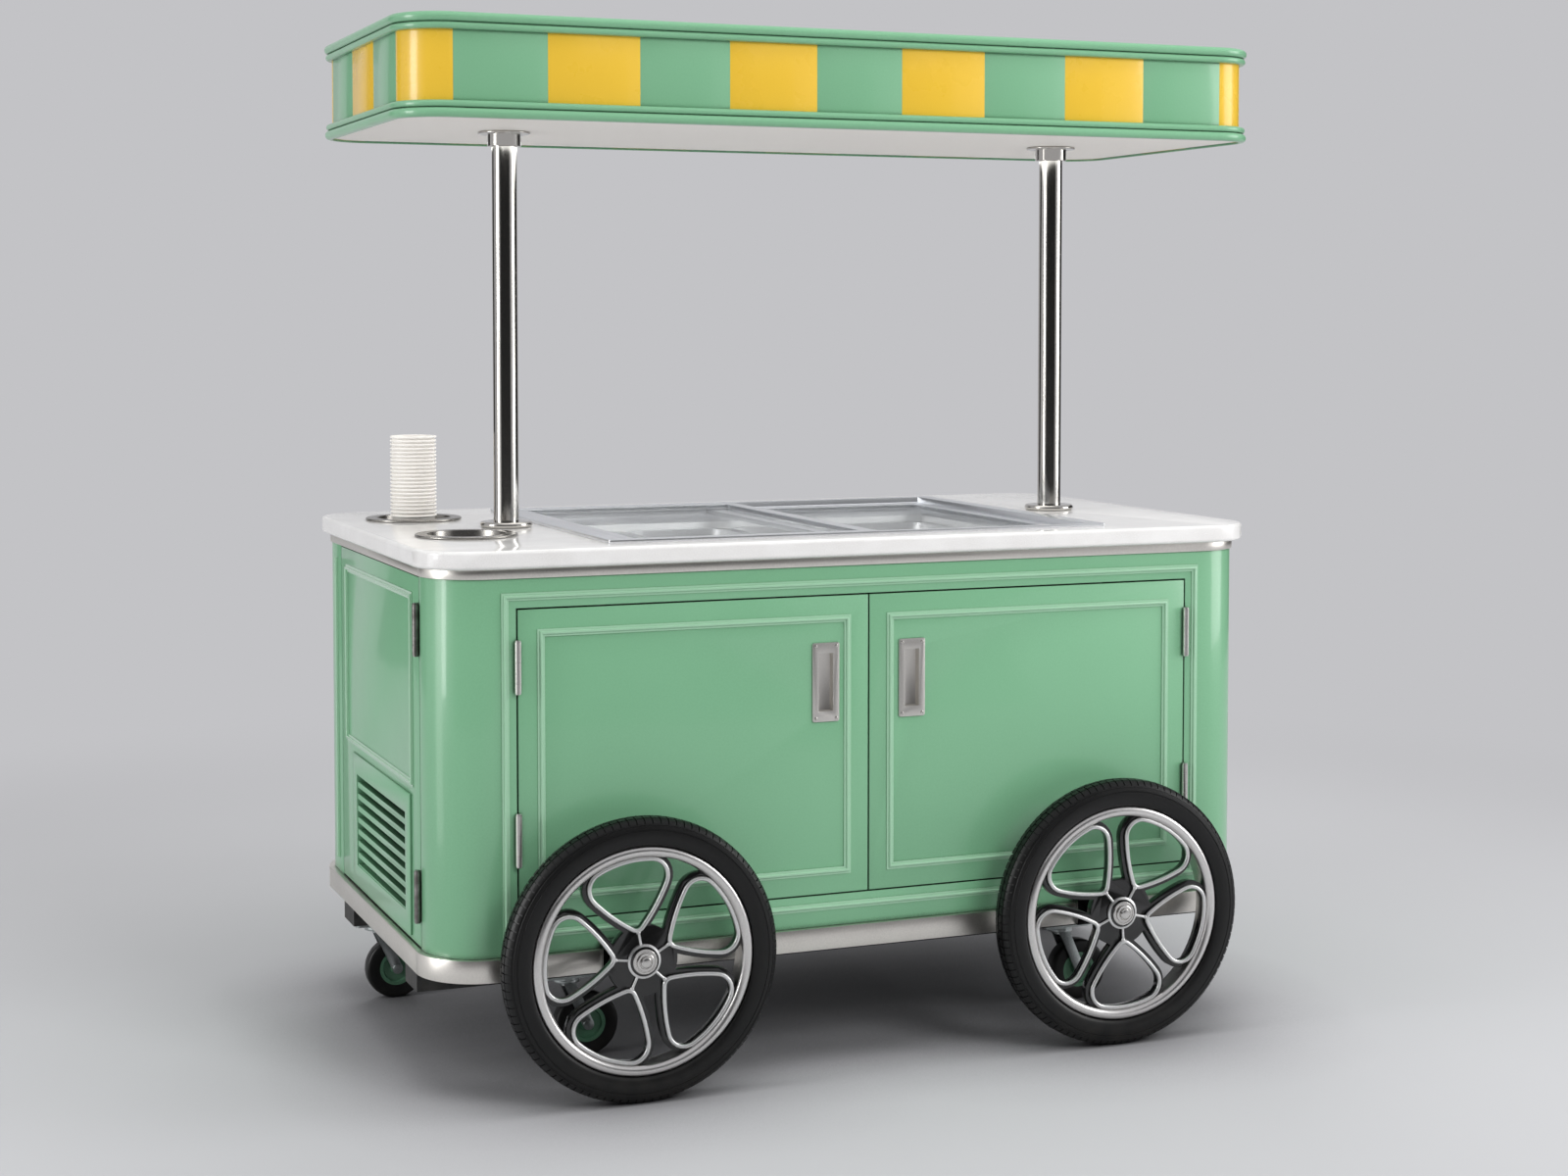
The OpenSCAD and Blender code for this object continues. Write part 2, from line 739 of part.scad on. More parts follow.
// Cabinet walls with the openings for the front doors and the service door
module cabinet_shell() {
  color(mint) on_cart() difference() {
    translate([0, 0, foot_z]) round_ring(cabinet_l, cabinet_w, cabinet_h, cabinet_r, wall_t);
    translate([-door_out, face_y - wall_t, door_z - door_gap])
      cube([2 * door_out, 3 * wall_t, door_h + 2 * door_gap]);
    translate([end_x - wall_t, service_y - service_w / 2 - door_gap, foot_z - 1])
      cube([3 * wall_t, service_w + 2 * door_gap, cabinet_h + 2]);
  }
}

// Inner floor, and the bulkhead between the machine bay and the cupboard
module inner_panels() {
  bulkhead_w = room_w - 2 * bulkhead_gap;
  color("gainsboro") on_cart() {
    translate([0, 0, foot_z]) round_block(room_l, room_w, panel_t, cabinet_r - wall_t);
    translate([bulkhead_x, -bulkhead_w / 2, floor_z]) cube([panel_t, bulkhead_w, trim_z - floor_z]);
  }
}

// Bead mouldings on the cabinet's fixed faces
module panel_mouldings() {
  face_w = 2 * (door_out + face_bead_off);
  face_h = door_h + 2 * (door_gap + face_bead_off);
  plain_h = cabinet_h - 2 * plain_bead_z;
  plain_z = foot_z + cabinet_h / 2;
  strip_x = -(service_y + service_w / 2 + cabinet_w / 2 - cabinet_r) / 2;
  color(mint) on_cart() {
    on_front() translate([0, door_z + door_h / 2, 0]) bead_frame(face_w, face_h);
    on_rear() translate([0, plain_z, 0])
      bead_frame(cabinet_l - 2 * (cabinet_r + plain_bead_off), plain_h);
    on_right_end() translate([0, plain_z, 0])
      bead_frame(cabinet_w - 2 * (cabinet_r + plain_bead_off), plain_h);
    on_left_end() translate([strip_x + bead_w / 2, plain_z, 0])
      rotate(90) rotate([90, 0, 90]) linear_extrude(plain_h, center = true) bead_profile();
  }
}

// Cuts that part the end pieces of a band from its front and rear pieces
module end_seams(z, h) {
  for (sx = [left, right], sy = [front, rear])
    translate([sx * cabinet_l / 2, sy * (cabinet_w / 2 - cabinet_r), z + h / 2])
      cube([4 * trim_w, seam, 2 * h], center = true);
}

// Steel skirt round the chassis, in four pieces
module skirt_band() {
  color(steel) on_cart() difference() {
    translate([0, 0, skirt_z])
      round_ring(cabinet_l + 2 * skirt_proud, cabinet_w + 2 * skirt_proud, skirt_h,
        cabinet_r + skirt_proud, skirt_proud + rail_inset);
    end_seams(skirt_z, skirt_h);
  }
}

// Steel trim that carries the countertop, in four pieces
module counter_trim() {
  color(steel) on_cart() difference() {
    translate([0, 0, trim_z])
      round_ring(cabinet_l + 2 * trim_proud, cabinet_w + 2 * trim_proud, trim_h,
        cabinet_r + trim_proud, trim_w);
    end_seams(trim_z, trim_h);
  }
}

// Section of the countertop's rim, x outwards from its outline
module eased_edge() {
  rim = 2 * counter_edge_r;
  translate([-rim, 0]) square([rim - counter_edge_r, counter_t]);
  translate([-rim, counter_edge_r]) square([rim, counter_t - 2 * counter_edge_r]);
  for (y = [counter_edge_r, counter_t - counter_edge_r])
    translate([-counter_edge_r, y]) circle(counter_edge_r);
}

// Stone countertop with the display cut-out and the cup wells' holes
module countertop() {
  rim = 2 * counter_edge_r;
  color("white") on_cart() difference() {
    translate([0, 0, counter_z0]) {
      round_block(counter_l - 2 * rim, counter_w - 2 * rim, counter_t, counter_r - rim);
      swept_rect(counter_l, counter_w, counter_r) eased_edge();
    }
    translate([display_x - cutout_l / 2, display_y - cutout_w / 2, counter_z0 - 1])
      cube([cutout_l, cutout_w, counter_t + 2]);
    at_cup_wells() translate([0, 0, counter_z0 - 1])
      cylinder(h = counter_t + 2, r = cup_bore_r + cup_wall + cup_gap);
  }
}

// Insulated tub under the display opening, with the ledge for the pan bars
module cold_well() {
  outer_l = display_l + 2 * well_wall;
  outer_w = display_w + 2 * well_wall;
  color("whitesmoke") on_cart() translate([display_x, display_y, 0]) difference() {
    translate([-outer_l / 2, -outer_w / 2, well_z - well_wall])
      cube([outer_l, outer_w, well_depth + well_wall]);
    translate([-display_l / 2, -display_w / 2, rack_z]) cube([display_l, display_w, rack_down + 1]);
    translate([well_ledge - display_l / 2, well_ledge - display_w / 2, well_z])
      cube([display_l - 2 * well_ledge, display_w - 2 * well_ledge, well_depth]);
  }
}

// Repeats a piece at the middle of each pan
module at_pans() {
  for (i = [0 : pan_cols - 1], j = [0 : pan_rows - 1])
    translate([display_x + (i - (pan_cols - 1) / 2) * pan_pitch_x,
      display_y + (j - (pan_rows - 1) / 2) * pan_pitch_y, 0]) children();
}

// Bars across the well that the pans hang on: one between the columns, one at each end
module pan_rack() {
  bar_w = pan_gap + 2 * (pan_lip - pan_fit);
  end_w = well_ledge - rack_gap;
  end_off = (rack_l - end_w) / 2;
  color(steel) on_cart() translate([display_x, display_y, rack_z + rack_t / 2]) {
    for (i = [1 : pan_cols - 1])
      translate([i * pan_pitch_x - rack_l / 2, 0, 0]) cube([bar_w, rack_w, rack_t], center = true);
    for (x = [-end_off, end_off])
      translate([x, 0, 0]) cube([end_w, rack_w, rack_t], center = true);
  }
}

// Steel pans with a flat rim, round corners and a dished floor
module gelato_pans() {
  rim_z = rack_z + rack_t;
  color("gainsboro") on_cart() at_pans() translate([0, 0, rim_z]) difference() {
    union() {
      translate([0, 0, -pan_depth]) round_block(pan_l, pan_w, pan_depth, pan_r);
      round_block(pan_l + 2 * pan_lip, pan_w + 2 * pan_lip, pan_wall, pan_r + pan_lip);
    }
    translate([0, 0, pan_wall - pan_depth])
      round_block(pan_l - 2 * pan_wall, pan_w - 2 * pan_wall, pan_depth + 1, pan_r - pan_wall);
  }
}

// Steel frame round the display, with a low and a high ledge for the two lids
module lid_track() {
  body_l = cutout_l - 2 * track_gap;
  body_w = cutout_w - 2 * track_gap;
  top = counter_z + track_h;
  color(steel) on_cart() translate([display_x, display_y, 0]) difference() {
    union() {
      translate([-body_l / 2, -body_w / 2, counter_z0]) cube([body_l, body_w, counter_t + track_h]);
      translate([0, 0, counter_z])
        round_block(display_l + 2 * track_w, display_w + 2 * track_w, track_h, track_r);
    }
    for (step = [[0, counter_z0 - 1], [lane_w, lane_lo_z], [2 * lane_w, lane_hi_z]])
      translate([-display_l / 2, -display_w / 2 - step[0], step[1]])
        cube([display_l, display_w + 2 * step[0], top - step[1] + 1]);
  }
}

// Frame of a sliding lid: four bars with a groove for the glass
module lid_frame(w) {
  difference() {
    translate([-lid_l / 2, -w / 2, 0]) cube([lid_l, w, lid_t]);
    translate([lid_bar - lid_l / 2, lid_bar - w / 2, -1])
      cube([lid_l - 2 * lid_bar, w - 2 * lid_bar, lid_t + 2]);
    lid_pane(w);
  }
}

// Glass of a sliding lid, seated in the frame's groove
module lid_pane(w) {
  inset = lid_bar - glass_seat;
  translate([inset - lid_l / 2, inset - w / 2, (lid_t - glass_t) / 2])
    cube([lid_l - 2 * inset, w - 2 * inset, glass_t]);
}

// The left lid runs on the upper ledge, the right lid on the lower ledge
module at_lid(side) {
  lane_z = (side == left) ? lane_hi_z : lane_lo_z;
  on_cart() translate([display_x + side * (display_l / 2 - lid_gap - lid_l / 2), display_y, lane_z + lid_gap])
    children();
}
module lid_left_frame() {
  color(steel) at_lid(left) lid_frame(lid_hi_w);
}
module lid_left_glass() {
  color("lightblue", 0.4) at_lid(left) lid_pane(lid_hi_w);
}
module lid_right_frame() {
  color(steel) at_lid(right) lid_frame(lid_lo_w);
}
module lid_right_glass() {
  color("lightblue", 0.4) at_lid(right) lid_pane(lid_lo_w);
}

// Repeats a piece on the axis of each cup well
module at_cup_wells() {
  for (y = [cup_y_rear, -cup_y_front]) translate([cup_well_x, y, 0]) children();
}

// Flanged steel cups let into the countertop
module cup_wells() {
  sleeve_r = cup_bore_r + cup_wall;
  color(steel) on_cart() at_cup_wells() difference() {
    union() {
      translate([0, 0, cup_floor_z - cup_wall]) cylinder(h = cup_depth + cup_wall, r = sleeve_r);
      translate([0, 0, counter_z]) rotate_extrude() {
        square([cup_flange_r - cup_flange_t / 2, cup_flange_t]);
        translate([cup_flange_r - cup_flange_t / 2, cup_flange_t / 2]) circle(cup_flange_t / 2);
      }
    }
    translate([0, 0, cup_floor_z]) cylinder(h = cup_depth + cup_flange_t + 1, r = cup_bore_r);
  }
}

// Stack of nested paper cups: a tapered base and one rolled rim for each cup
module paper_cups() {
  stack_h = cup_h + (cup_n - 1) * cup_pitch;
  neck_r = cup_rim_r - cup_rim_t / 2;
  mouth_r = neck_r - cup_skin;
  color("ivory") on_cart() translate([cup_well_x, cup_y_rear, cup_floor_z + cup_rest]) difference() {
    union() {
      cylinder(h = cup_h - cup_rim_t / 2, r1 = cup_base_r, r2 = neck_r);
      rotate_extrude() {
        translate([0, cup_h - cup_rim_t]) square([neck_r - cup_skin / 2, stack_h - cup_h + cup_rim_t / 2]);
        for (i = [0 : cup_n - 1]) translate([0, cup_h - cup_rim_t + i * cup_pitch]) {
          square([neck_r, cup_rim_t]);
          translate([neck_r, cup_rim_t / 2]) circle(cup_rim_t / 2);
        }
      }
    }
    translate([0, 0, stack_h - cup_h + 2 * cup_skin])
      cylinder(h = cup_h, r1 = cup_base_r - cup_skin, r2 = mouth_r);
  }
}

// Repeats a piece on the axis of each post
module at_posts() {
  for (sx = [left, right]) translate([canopy_x + sx * post_x, 0, 0]) children();
}

// Tubular posts from the countertop to the soffit
module canopy_posts() {
  color("silver") on_cart() at_posts() translate([0, 0, counter_z]) difference() {
    cylinder(h = soffit_z - counter_z, r = post_r);
    translate([0, 0, -1]) cylinder(h = soffit_z - counter_z + 2, r = post_r - post_wall);
  }
}

// Disc with a rounded rim and a bore for the post
module post_disc(r, t) {
  rotate_extrude() {
    translate([post_r, 0]) square([r - t / 2 - post_r, t]);
    translate([r - t / 2, t / 2]) circle(t / 2);
  }
}

// Base flanges, upper collars and soffit discs on the posts
module post_fittings() {
  color("silver") on_cart() at_posts() {
    translate([0, 0, counter_z]) post_disc(flange_r, flange_t);
    translate([0, 0, soffit_z - disc_t]) {
      post_disc(disc_r, disc_t);
      translate([0, 0, -collar_h]) difference() {
        cylinder(h = collar_h, r = collar_r);
        translate([0, 0, -1]) cylinder(h = collar_h + 2, r = post_r);
      }
    }
  }
}

// Moves a piece from the canopy's middle to its place
module on_canopy() {
  on_cart() translate([canopy_x, 0, 0]) children();
}

// Underside of the canopy
module canopy_soffit() {
  color("whitesmoke") on_canopy() translate([0, 0, soffit_z])
    round_block(fascia_l - 2 * fascia_t, fascia_w - 2 * fascia_t, soffit_t, fascia_r - fascia_t);
}

// Top of the canopy
module canopy_roof() {
  color(mint) on_canopy() translate([0, 0, roof_z])
    round_block(fascia_l - 2 * fascia_t, fascia_w - 2 * fascia_t, soffit_t, fascia_r - fascia_t);
}

// Plan of every second fascia panel; the corners and every second flat panel are yellow
module yellow_plan() {
  flat_l = fascia_l - 2 * fascia_r;
  flat_w = fascia_w - 2 * fascia_r;
  for (sx = [left, right], sy = [front, rear])
    translate([sx * (flat_l / 2 + fascia_r), sy * (flat_w / 2 + fascia_r)])
      square(2 * fascia_r, center = true);
  for (i = [1 : 2 : stripe_n_long - 2])
    translate([(i + 0.5) * stripe_l - flat_l / 2, 0]) square([stripe_l, 2 * fascia_w], center = true);
  for (i = [1 : 2 : stripe_n_end - 2])
    translate([0, (i + 0.5) * stripe_w - flat_w / 2]) square([2 * fascia_l, stripe_w], center = true);
}

// Plan of the whole fascia wall
module fascia_plan() {
  difference() {
    round_rect(fascia_l, fascia_w, fascia_r);
    round_rect(fascia_l - 2 * fascia_t, fascia_w - 2 * fascia_t, fascia_r - fascia_t);
  }
}

// Mint panels of the canopy's fascia
module canopy_fascia() {
  color(mint) on_canopy() translate([0, 0, soffit_z]) linear_extrude(fascia_h) difference() {
    fascia_plan();
    yellow_plan();
  }
}

// Yellow panels of the canopy's fascia
module canopy_panels() {
  color(yellow) on_canopy() translate([0, 0, soffit_z]) linear_extrude(fascia_h) intersection() {
    fascia_plan();
    yellow_plan();
  }
}

// Section of a canopy rail: a broad bead and a narrow bead, the broad one at the top
module rail_profile() {
  broad_share = 0.58;
  broad_r = broad_share * rail_h / 2;
  narrow_r = rail_h / 2 - broad_r;
  neck = rail_proud - broad_r;
  square([neck, rail_h]);
  translate([neck, rail_h - broad_r]) circle(broad_r);
  translate([neck, narrow_r]) circle(narrow_r);
}

// Double-bead rails along the canopy's lower and upper edges
module canopy_rails() {
  color(mint) on_canopy() {
    translate([0, 0, canopy_z + canopy_h - rail_h])
      swept_rect(fascia_l, fascia_w, fascia_r) clipped_rail();
    translate([0, 0, canopy_z + rail_h]) mirror([0, 0, 1])
      swept_rect(fascia_l, fascia_w, fascia_r) clipped_rail();
  }
}
module clipped_rail() {
  intersection() {
    rail_profile();
    square([rail_proud, rail_h]);
  }
}

// A leaf of a hinge with its knuckles; the axis is Z, the panel lies at +Y behind it.
// The jamb's leaf lies at -X and has the odd knuckles, the door's leaf at +X the even ones.
module hinge_leaf(sx) {
  first = (sx == left) ? 0 : 1;
  leaf_x = (sx == left) ? -door_gap / 2 : door_gap / 2 - leaf_t;
  difference() {
    union() {
      translate([leaf_x, barrel_out, -hinge_l / 2]) cube([leaf_t, leaf_reach - barrel_out, hinge_l]);
      for (i = [first : 2 : knuckle_n - 1])
        translate([0, 0, i * (knuckle_l + knuckle_gap) - hinge_l / 2]) {
          cylinder(h = knuckle_l, r = hinge_r);
          translate([leaf_x, 0, 0]) cube([leaf_t, barrel_out + leaf_t, knuckle_l]);
        }
    }
    cylinder(h = hinge_l + 2, r = pin_r + pin_gap, center = true);
  }
}

// Pin of a hinge with a button head at each end
module hinge_pin() {
  head_h = 2;
  cylinder(h = hinge_l + 2 * knuckle_gap, r = pin_r, center = true);
  for (s = [-1, 1]) translate([0, 0, s * (hinge_l / 2 + knuckle_gap + head_h / 2)])
    cylinder(h = head_h, r = hinge_r - 1, center = true);
}

// Places hinges on the front doors' outer edges
module at_door_hinges(side) {
  on_cart() for (up = [hinge_up, door_h - hinge_down])
    translate([side * door_hinge_x, face_y - barrel_out, door_z + up]) mirror([side == left ? 0 : 1, 0, 0])
      children();
}

// Places hinges on the service door's front edge
module at_service_hinges() {
  on_cart() for (up = [service_hinge_off, service_h - service_hinge_off])
    translate([end_x - barrel_out, service_y - service_w / 2 - door_gap / 2, service_z + up])
      mirror([1, 0, 0]) rotate(90) children();
}

// Jamb leaves and pins of all six hinges
module hinge_leaves() {
  color("lightgray") {
    for (side = [left, right]) at_door_hinges(side) {
      hinge_leaf(left);
      hinge_pin();
    }
    at_service_hinges() {
      hinge_leaf(left);
      hinge_pin();
    }
  }
}
module door_left_hinges() {
  color("lightgray") at_door_hinges(left) hinge_leaf(right);
}
module door_right_hinges() {
  color("lightgray") at_door_hinges(right) hinge_leaf(right);
}
module service_door_hinges() {
  color("lightgray") at_service_hinges() hinge_leaf(right);
}

// Places a front door's local frame: x and y from the door's middle, z out of its face
module at_door(side) {
  on_cart() on_front()
    translate([side * (door_gap / 2 + door_w / 2), door_z + door_h / 2, 0]) children();
}

// Middle of a door's pull in the door's local frame
function pull_x(side) = side * (pull_off - door_w / 2);

// Door slab with the pocket for its pull
module door_slab(side) {
  difference() {
    translate([-door_w / 2, -door_h / 2, -wall_t]) cube([door_w, door_h, wall_t]);
    translate([pull_x(side), pull_y, -tray_d - tray_gap])
      linear_extrude(wall_t) square([tray_w + 2 * tray_gap, tray_h + 2 * tray_gap], center = true);
  }
}
module door_left() {
  color(mint) at_door(left) door_slab(left);
}
module door_right() {
  color(mint) at_door(right) door_slab(right);
}
module door_left_moulding() {
  color(mint) at_door(left) bead_frame(door_w - 2 * door_bead_off, door_h - 2 * door_bead_off);
}
module door_right_moulding() {
  color(mint) at_door(right) bead_frame(door_w - 2 * door_bead_off, door_h - 2 * door_bead_off);
}

// Flush pull: a face plate with a pressed tray for the fingers
module flush_pull() {
  difference() {
    union() {
      round_block(pull_w, pull_h, pull_t, pull_r);
      translate([0, 0, -tray_d]) linear_extrude(tray_d) square([tray_w, tray_h], center = true);
    }
    translate([0, 0, -recess_d]) linear_extrude(wall_t + pull_t) square([recess_w, recess_h], center = true);
  }
}
module door_left_pull() {
  color("silver") at_door(left) translate([pull_x(left), pull_y, 0]) flush_pull();
}
module door_right_pull() {
  color("silver") at_door(right) translate([pull_x(right), pull_y, 0]) flush_pull();
}

// Places the service door's local frame: x and y from the door's middle, z out of its face
module at_service_door() {
  on_cart() on_left_end() translate([-service_y, service_z + service_h / 2, 0]) children();
}

// Service door slab with the window for its grille
module service_door() {
  color(mint) at_service_door() difference() {
    translate([-service_w / 2, -service_h / 2, -wall_t]) cube([service_w, service_h, wall_t]);
    translate([grille_off, grille_y, -2 * wall_t])
      linear_extrude(3 * wall_t) square([grille_w, grille_h], center = true);
  }
}
module service_door_moulding() {
  color(mint) at_service_door()
    translate([0, service_h / 2 - service_bead_off - service_bead_h / 2, 0])
      bead_frame(service_w - 2 * service_bead_in, service_bead_h);
}

// Louvre grille: a flange on the door's face and sloping blades in a sleeve
module service_door_grille() {
  blade_pitch = grille_h / louvre_n;
  blade_z = 1 - wall_t;
  blade_fall = (grille_t / 2 - blade_z) * tan(louvre_tilt);
  open_w = grille_w - 2 * sleeve_t;
  open_h = grille_h - 2 * sleeve_t;
  color(mint) at_service_door() translate([grille_off, grille_y, 0]) {
    difference() {
      union() {
        linear_extrude(grille_t)
          square([grille_w + 2 * grille_flange, grille_h + 2 * grille_flange], center = true);
        translate([0, 0, -wall_t]) linear_extrude(wall_t) square([grille_w, grille_h], center = true);
      }
      translate([0, 0, -2 * wall_t]) linear_extrude(4 * wall_t) square([open_w, open_h], center = true);
    }
    intersection() {
      translate([0, 0, -wall_t]) linear_extrude(wall_t + grille_t) square([open_w, open_h], center = true);
      for (i = [0 : louvre_n]) translate([0, (i - louvre_n / 2) * blade_pitch, 0])
        rotate([90, 0, 90]) linear_extrude(open_w, center = true)
          polygon([[-louvre_face / 2, grille_t / 2], [louvre_face / 2, grille_t / 2],
            [louvre_face / 2 - blade_fall, blade_z], [louvre_face / 2 - blade_fall - louvre_t, blade_z]]);
    }
  }
}

// Places a large wheel's local frame: z out along the axle, from the wheel's mid-plane
module at_wheel(side) {
  on_cart() on_front() translate([side * wheel_x, wheel_r, wheel_off]) children();
}

// Stub axle: a stepped foot on skirt and cabinet, a shoulder and the spindle
module stub_axles() {
  foot_out = skirt_proud + foot_t;
  spindle_end = wheel_off + hub_l / 2 - hub_end - 2;
  color("dimgray") on_cart() on_front() for (side = [left, right]) {
    translate([side * wheel_x - foot_w / 2, skirt_z, skirt_proud]) cube([foot_w, skirt_h + foot_up, foot_t]);
    translate([side * wheel_x - foot_w / 2, foot_z, 0]) cube([foot_w, foot_up, foot_out]);
    translate([side * wheel_x, wheel_r, skirt_proud]) {
      cylinder(h = wheel_off - hub_l / 2 - hub_gap - skirt_proud, r = shoulder_r);
      cylinder(h = spindle_end - skirt_proud, r = axle_r);
    }
  }
}

// Tyre: bulged sidewalls, round shoulders and three grooves in the tread
module tyre() {
  half = tyre_w / 2;
  shoulder = tyre_h / 5;
  bulge_r = tyre_h * 0.32;
  bulge_off = tyre_h * 0.52;
  tread_half = half * 0.66;
  groove = 4;
  groove_pitch = tread_half * 0.55;
  foot = rim_w * 0.85;
  rotate_extrude() difference() {
    union() {
      translate([bead_seat_r, -foot / 2]) square([tyre_h - shoulder, foot]);
      for (s = [-1, 1]) {
        translate([bead_seat_r + bulge_off, s * (half - bulge_r)]) circle(bulge_r);
        translate([wheel_r - shoulder, s * (tread_half - shoulder / 2)]) circle(shoulder);
      }
      translate([wheel_r - tyre_h / 2, shoulder / 2 - tread_half])
        square([tyre_h / 2, 2 * tread_half - shoulder]);
    }
    for (i = [-1, 0, 1])
      translate([wheel_r, i * groove_pitch]) square([2 * groove, groove], center = true);
  }
}
module wheel_left_tyre() {
  color("#1A1A1A") at_wheel(left) tyre();
}
module wheel_right_tyre() {
  color("#1A1A1A") at_wheel(right) tyre();
}

// Rim: a hollow-looking hoop with round lips
module rim() {
  lip = rim_h / 2;
  rotate_extrude() {
    translate([rim_in_r, lip - rim_w / 2]) square([rim_h, rim_w - rim_h]);
    for (s = [-1, 1]) translate([rim_in_r + lip, s * (rim_w / 2 - lip)]) circle(lip);
  }
}
module wheel_left_rim() {
  color("lightgray") at_wheel(left) rim();
}
module wheel_right_rim() {
  color("lightgray") at_wheel(right) rim();
}

// Spider: petal windows with a border round each, open between the petals at the rim
module spider_plan() {
  gap_in_r = spider_disc_r + petal_tip_r;
  difference() {
    circle(rim_in_r);
    for (k = [0 : petal_n - 1]) rotate(k * 360 / petal_n) polygon(petal_outline(-1));
    difference() {
      circle(rim_in_r + 1);
      circle(gap_in_r);
      for (k = [0 : petal_n - 1]) rotate(k * 360 / petal_n) {
        polygon(petal_outline(spider_border));
        translate([0, petal_tip_off + petal_tip_r]) rotate(180) translate([-spider_border, 0])
          square([2 * spider_border, petal_tip_off]);
      }
    }
  }
}
module spider(turn) {
  difference() {
    union() {
      rotate(turn) translate([0, 0, spider_z]) linear_extrude(spider_t) spider_plan();
      translate([0, 0, hub_z]) cylinder(h = hub_l, r = hub_r);
    }
    translate([0, 0, hub_z - 1]) cylinder(h = hub_l - hub_end + 1, r = axle_r + axle_gap);
  }
}
module wheel_left_spider() {
  color("#141414") at_wheel(left) spider(turn_left);
}
module wheel_right_spider() {
  color("#141414") at_wheel(right) spider(turn_right);
}

// One bent length of round bar, with the ball of weld that joins it to the length before
module bent_bar(arc) {
  trim = weld_gap / arc[1] * 180 / PI;
  translate(arc[0]) rotate(arc[2]) {
    rotate(trim) rotate_extrude(angle = arc[3] - 2 * trim) translate([arc[1], 0]) circle(bar_r);
    translate([arc[1], 0]) sphere(bar_r + weld_proud);
  }
}

// Petal loops of round bar, each on a stem from the collar round the hub
module loops() {
  stem_off = hub_r + bar_r / 2;
  for (k = [0 : petal_n - 1]) rotate(k * 360 / petal_n) {
    for (arc = petal_arcs) bent_bar(arc);
    translate([0, stem_off, 0]) rotate([-90, 0, 0]) cylinder(h = petal_tip_off - stem_off, r = stem_r);
  }
  rotate_extrude() translate([hub_r, -bar_r]) square([bar_r, 2 * bar_r]);
}
module wheel_left_loops() {
  color("silver") at_wheel(left) translate([0, 0, loop_z]) rotate(turn_left) loops();
}
module wheel_right_loops() {
  color("silver") at_wheel(right) translate([0, 0, loop_z]) rotate(turn_right) loops();
}

// Hub cap: a stepped, domed cap with plain rings
module hub_cap() {
  base_h = cap_h * 0.35;
  step_h = cap_h * 0.6;
  step_r = cap_r * 0.72;
  dome_r = step_r - 1.5;
  translate([0, 0, hub_z + hub_l]) rotate_extrude() {
    square([cap_r, base_h]);
    square([step_r, step_h]);
    intersection() {
      translate([0, step_h - step_r]) circle(step_r + cap_h - step_h);
      square([dome_r, cap_h]);
    }
  }
}
module wheel_left_cap() {
  color("silver") at_wheel(left) hub_cap();
}
module wheel_right_cap() {
  color("silver") at_wheel(right) hub_cap();
}

// Place of a caster's king pin
module at_caster(sx, sy) {
  x = sx * (sy == rear ? caster_x_rear : caster_x_front);
  y = (sy == rear) ? caster_y_rear : caster_y_front;
  on_cart() translate([x, y, 0]) children();
}

// Top plates with the swivel bearings, king pins and nuts
module caster_plates() {
  color("lightgray") for (sx = [left, right], sy = [front, rear]) at_caster(sx, sy) {
    translate([0, 0, plate_z]) round_block(plate_l, plate_w, plate_t, plate_r);
    translate([0, 0, plate_z - bearing_h]) cylinder(h = bearing_h, r = bearing_r);
    translate([0, 0, crown_z - swivel_gap - nut_h]) {
      cylinder(h = nut_h, r = nut_r);
      cylinder(h = plate_z - crown_z + swivel_gap + nut_h, r = king_r);
    }
  }
}

// Fork: a round crown, two cheeks that sweep back to the axle, and the axle bolt
module caster_fork() {
  axle_z = caster_d / 2;
  neck_w = bearing_r * 0.8;
  eye_r = 2.2 * bolt_r;
  nut_t = 4;
  color("gainsboro") difference() {
    union() {
      translate([0, 0, crown_z]) cylinder(h = crown_t, r = bearing_r);
      for (s = [-1, 1]) translate([0, s * (cheek_y + cheek_t / 2), 0]) rotate([90, 0, 0])
        linear_extrude(cheek_t, center = true) hull() {
          translate([-neck_w / 2, crown_z]) square([neck_w, crown_t]);
          translate([caster_trail, axle_z]) circle(eye_r);
        }
      translate([caster_trail, 0, axle_z]) rotate([90, 0, 0])
        cylinder(h = 2 * (cheek_y + cheek_t + nut_t), r = bolt_r, center = true);
      for (s = [-1, 1]) translate([caster_trail, s * (cheek_y + cheek_t + nut_t / 2), axle_z])
        rotate([90, 0, 0]) cylinder(h = nut_t, r = nut_r, center = true);
    }
    translate([0, 0, crown_z - 1]) cylinder(h = crown_t + 2, r = king_r + king_gap);
  }
}

// Caster wheel: a dished hub and a round-shouldered tyre
module caster_wheel() {
  shoulder = caster_w / 4;
  seat_r = caster_hub_r + bond_t;
  dish_r = caster_hub_r * 0.62;
  dish_w = caster_hub_r / 2;
  dish_d = caster_w / 8;
  translate([caster_trail, 0, caster_d / 2]) rotate([90, 0, 0]) {
    color(mint) rotate_extrude() difference() {
      translate([bolt_r + bolt_gap, -caster_w / 2]) square([caster_hub_r - bolt_r - bolt_gap, caster_w]);
      for (s = [-1, 1]) translate([dish_r, s * caster_w / 2])
        square([dish_w, 2 * dish_d], center = true);
    }
    color("#1A1A1A") rotate_extrude() {
      translate([seat_r, -caster_w / 2]) square([caster_d / 2 - shoulder - seat_r, caster_w]);
      translate([seat_r, shoulder - caster_w / 2]) square([caster_d / 2 - seat_r, caster_w - 2 * shoulder]);
      for (s = [-1, 1]) translate([caster_d / 2 - shoulder, s * (caster_w / 2 - shoulder)]) circle(shoulder);
    }
  }
}
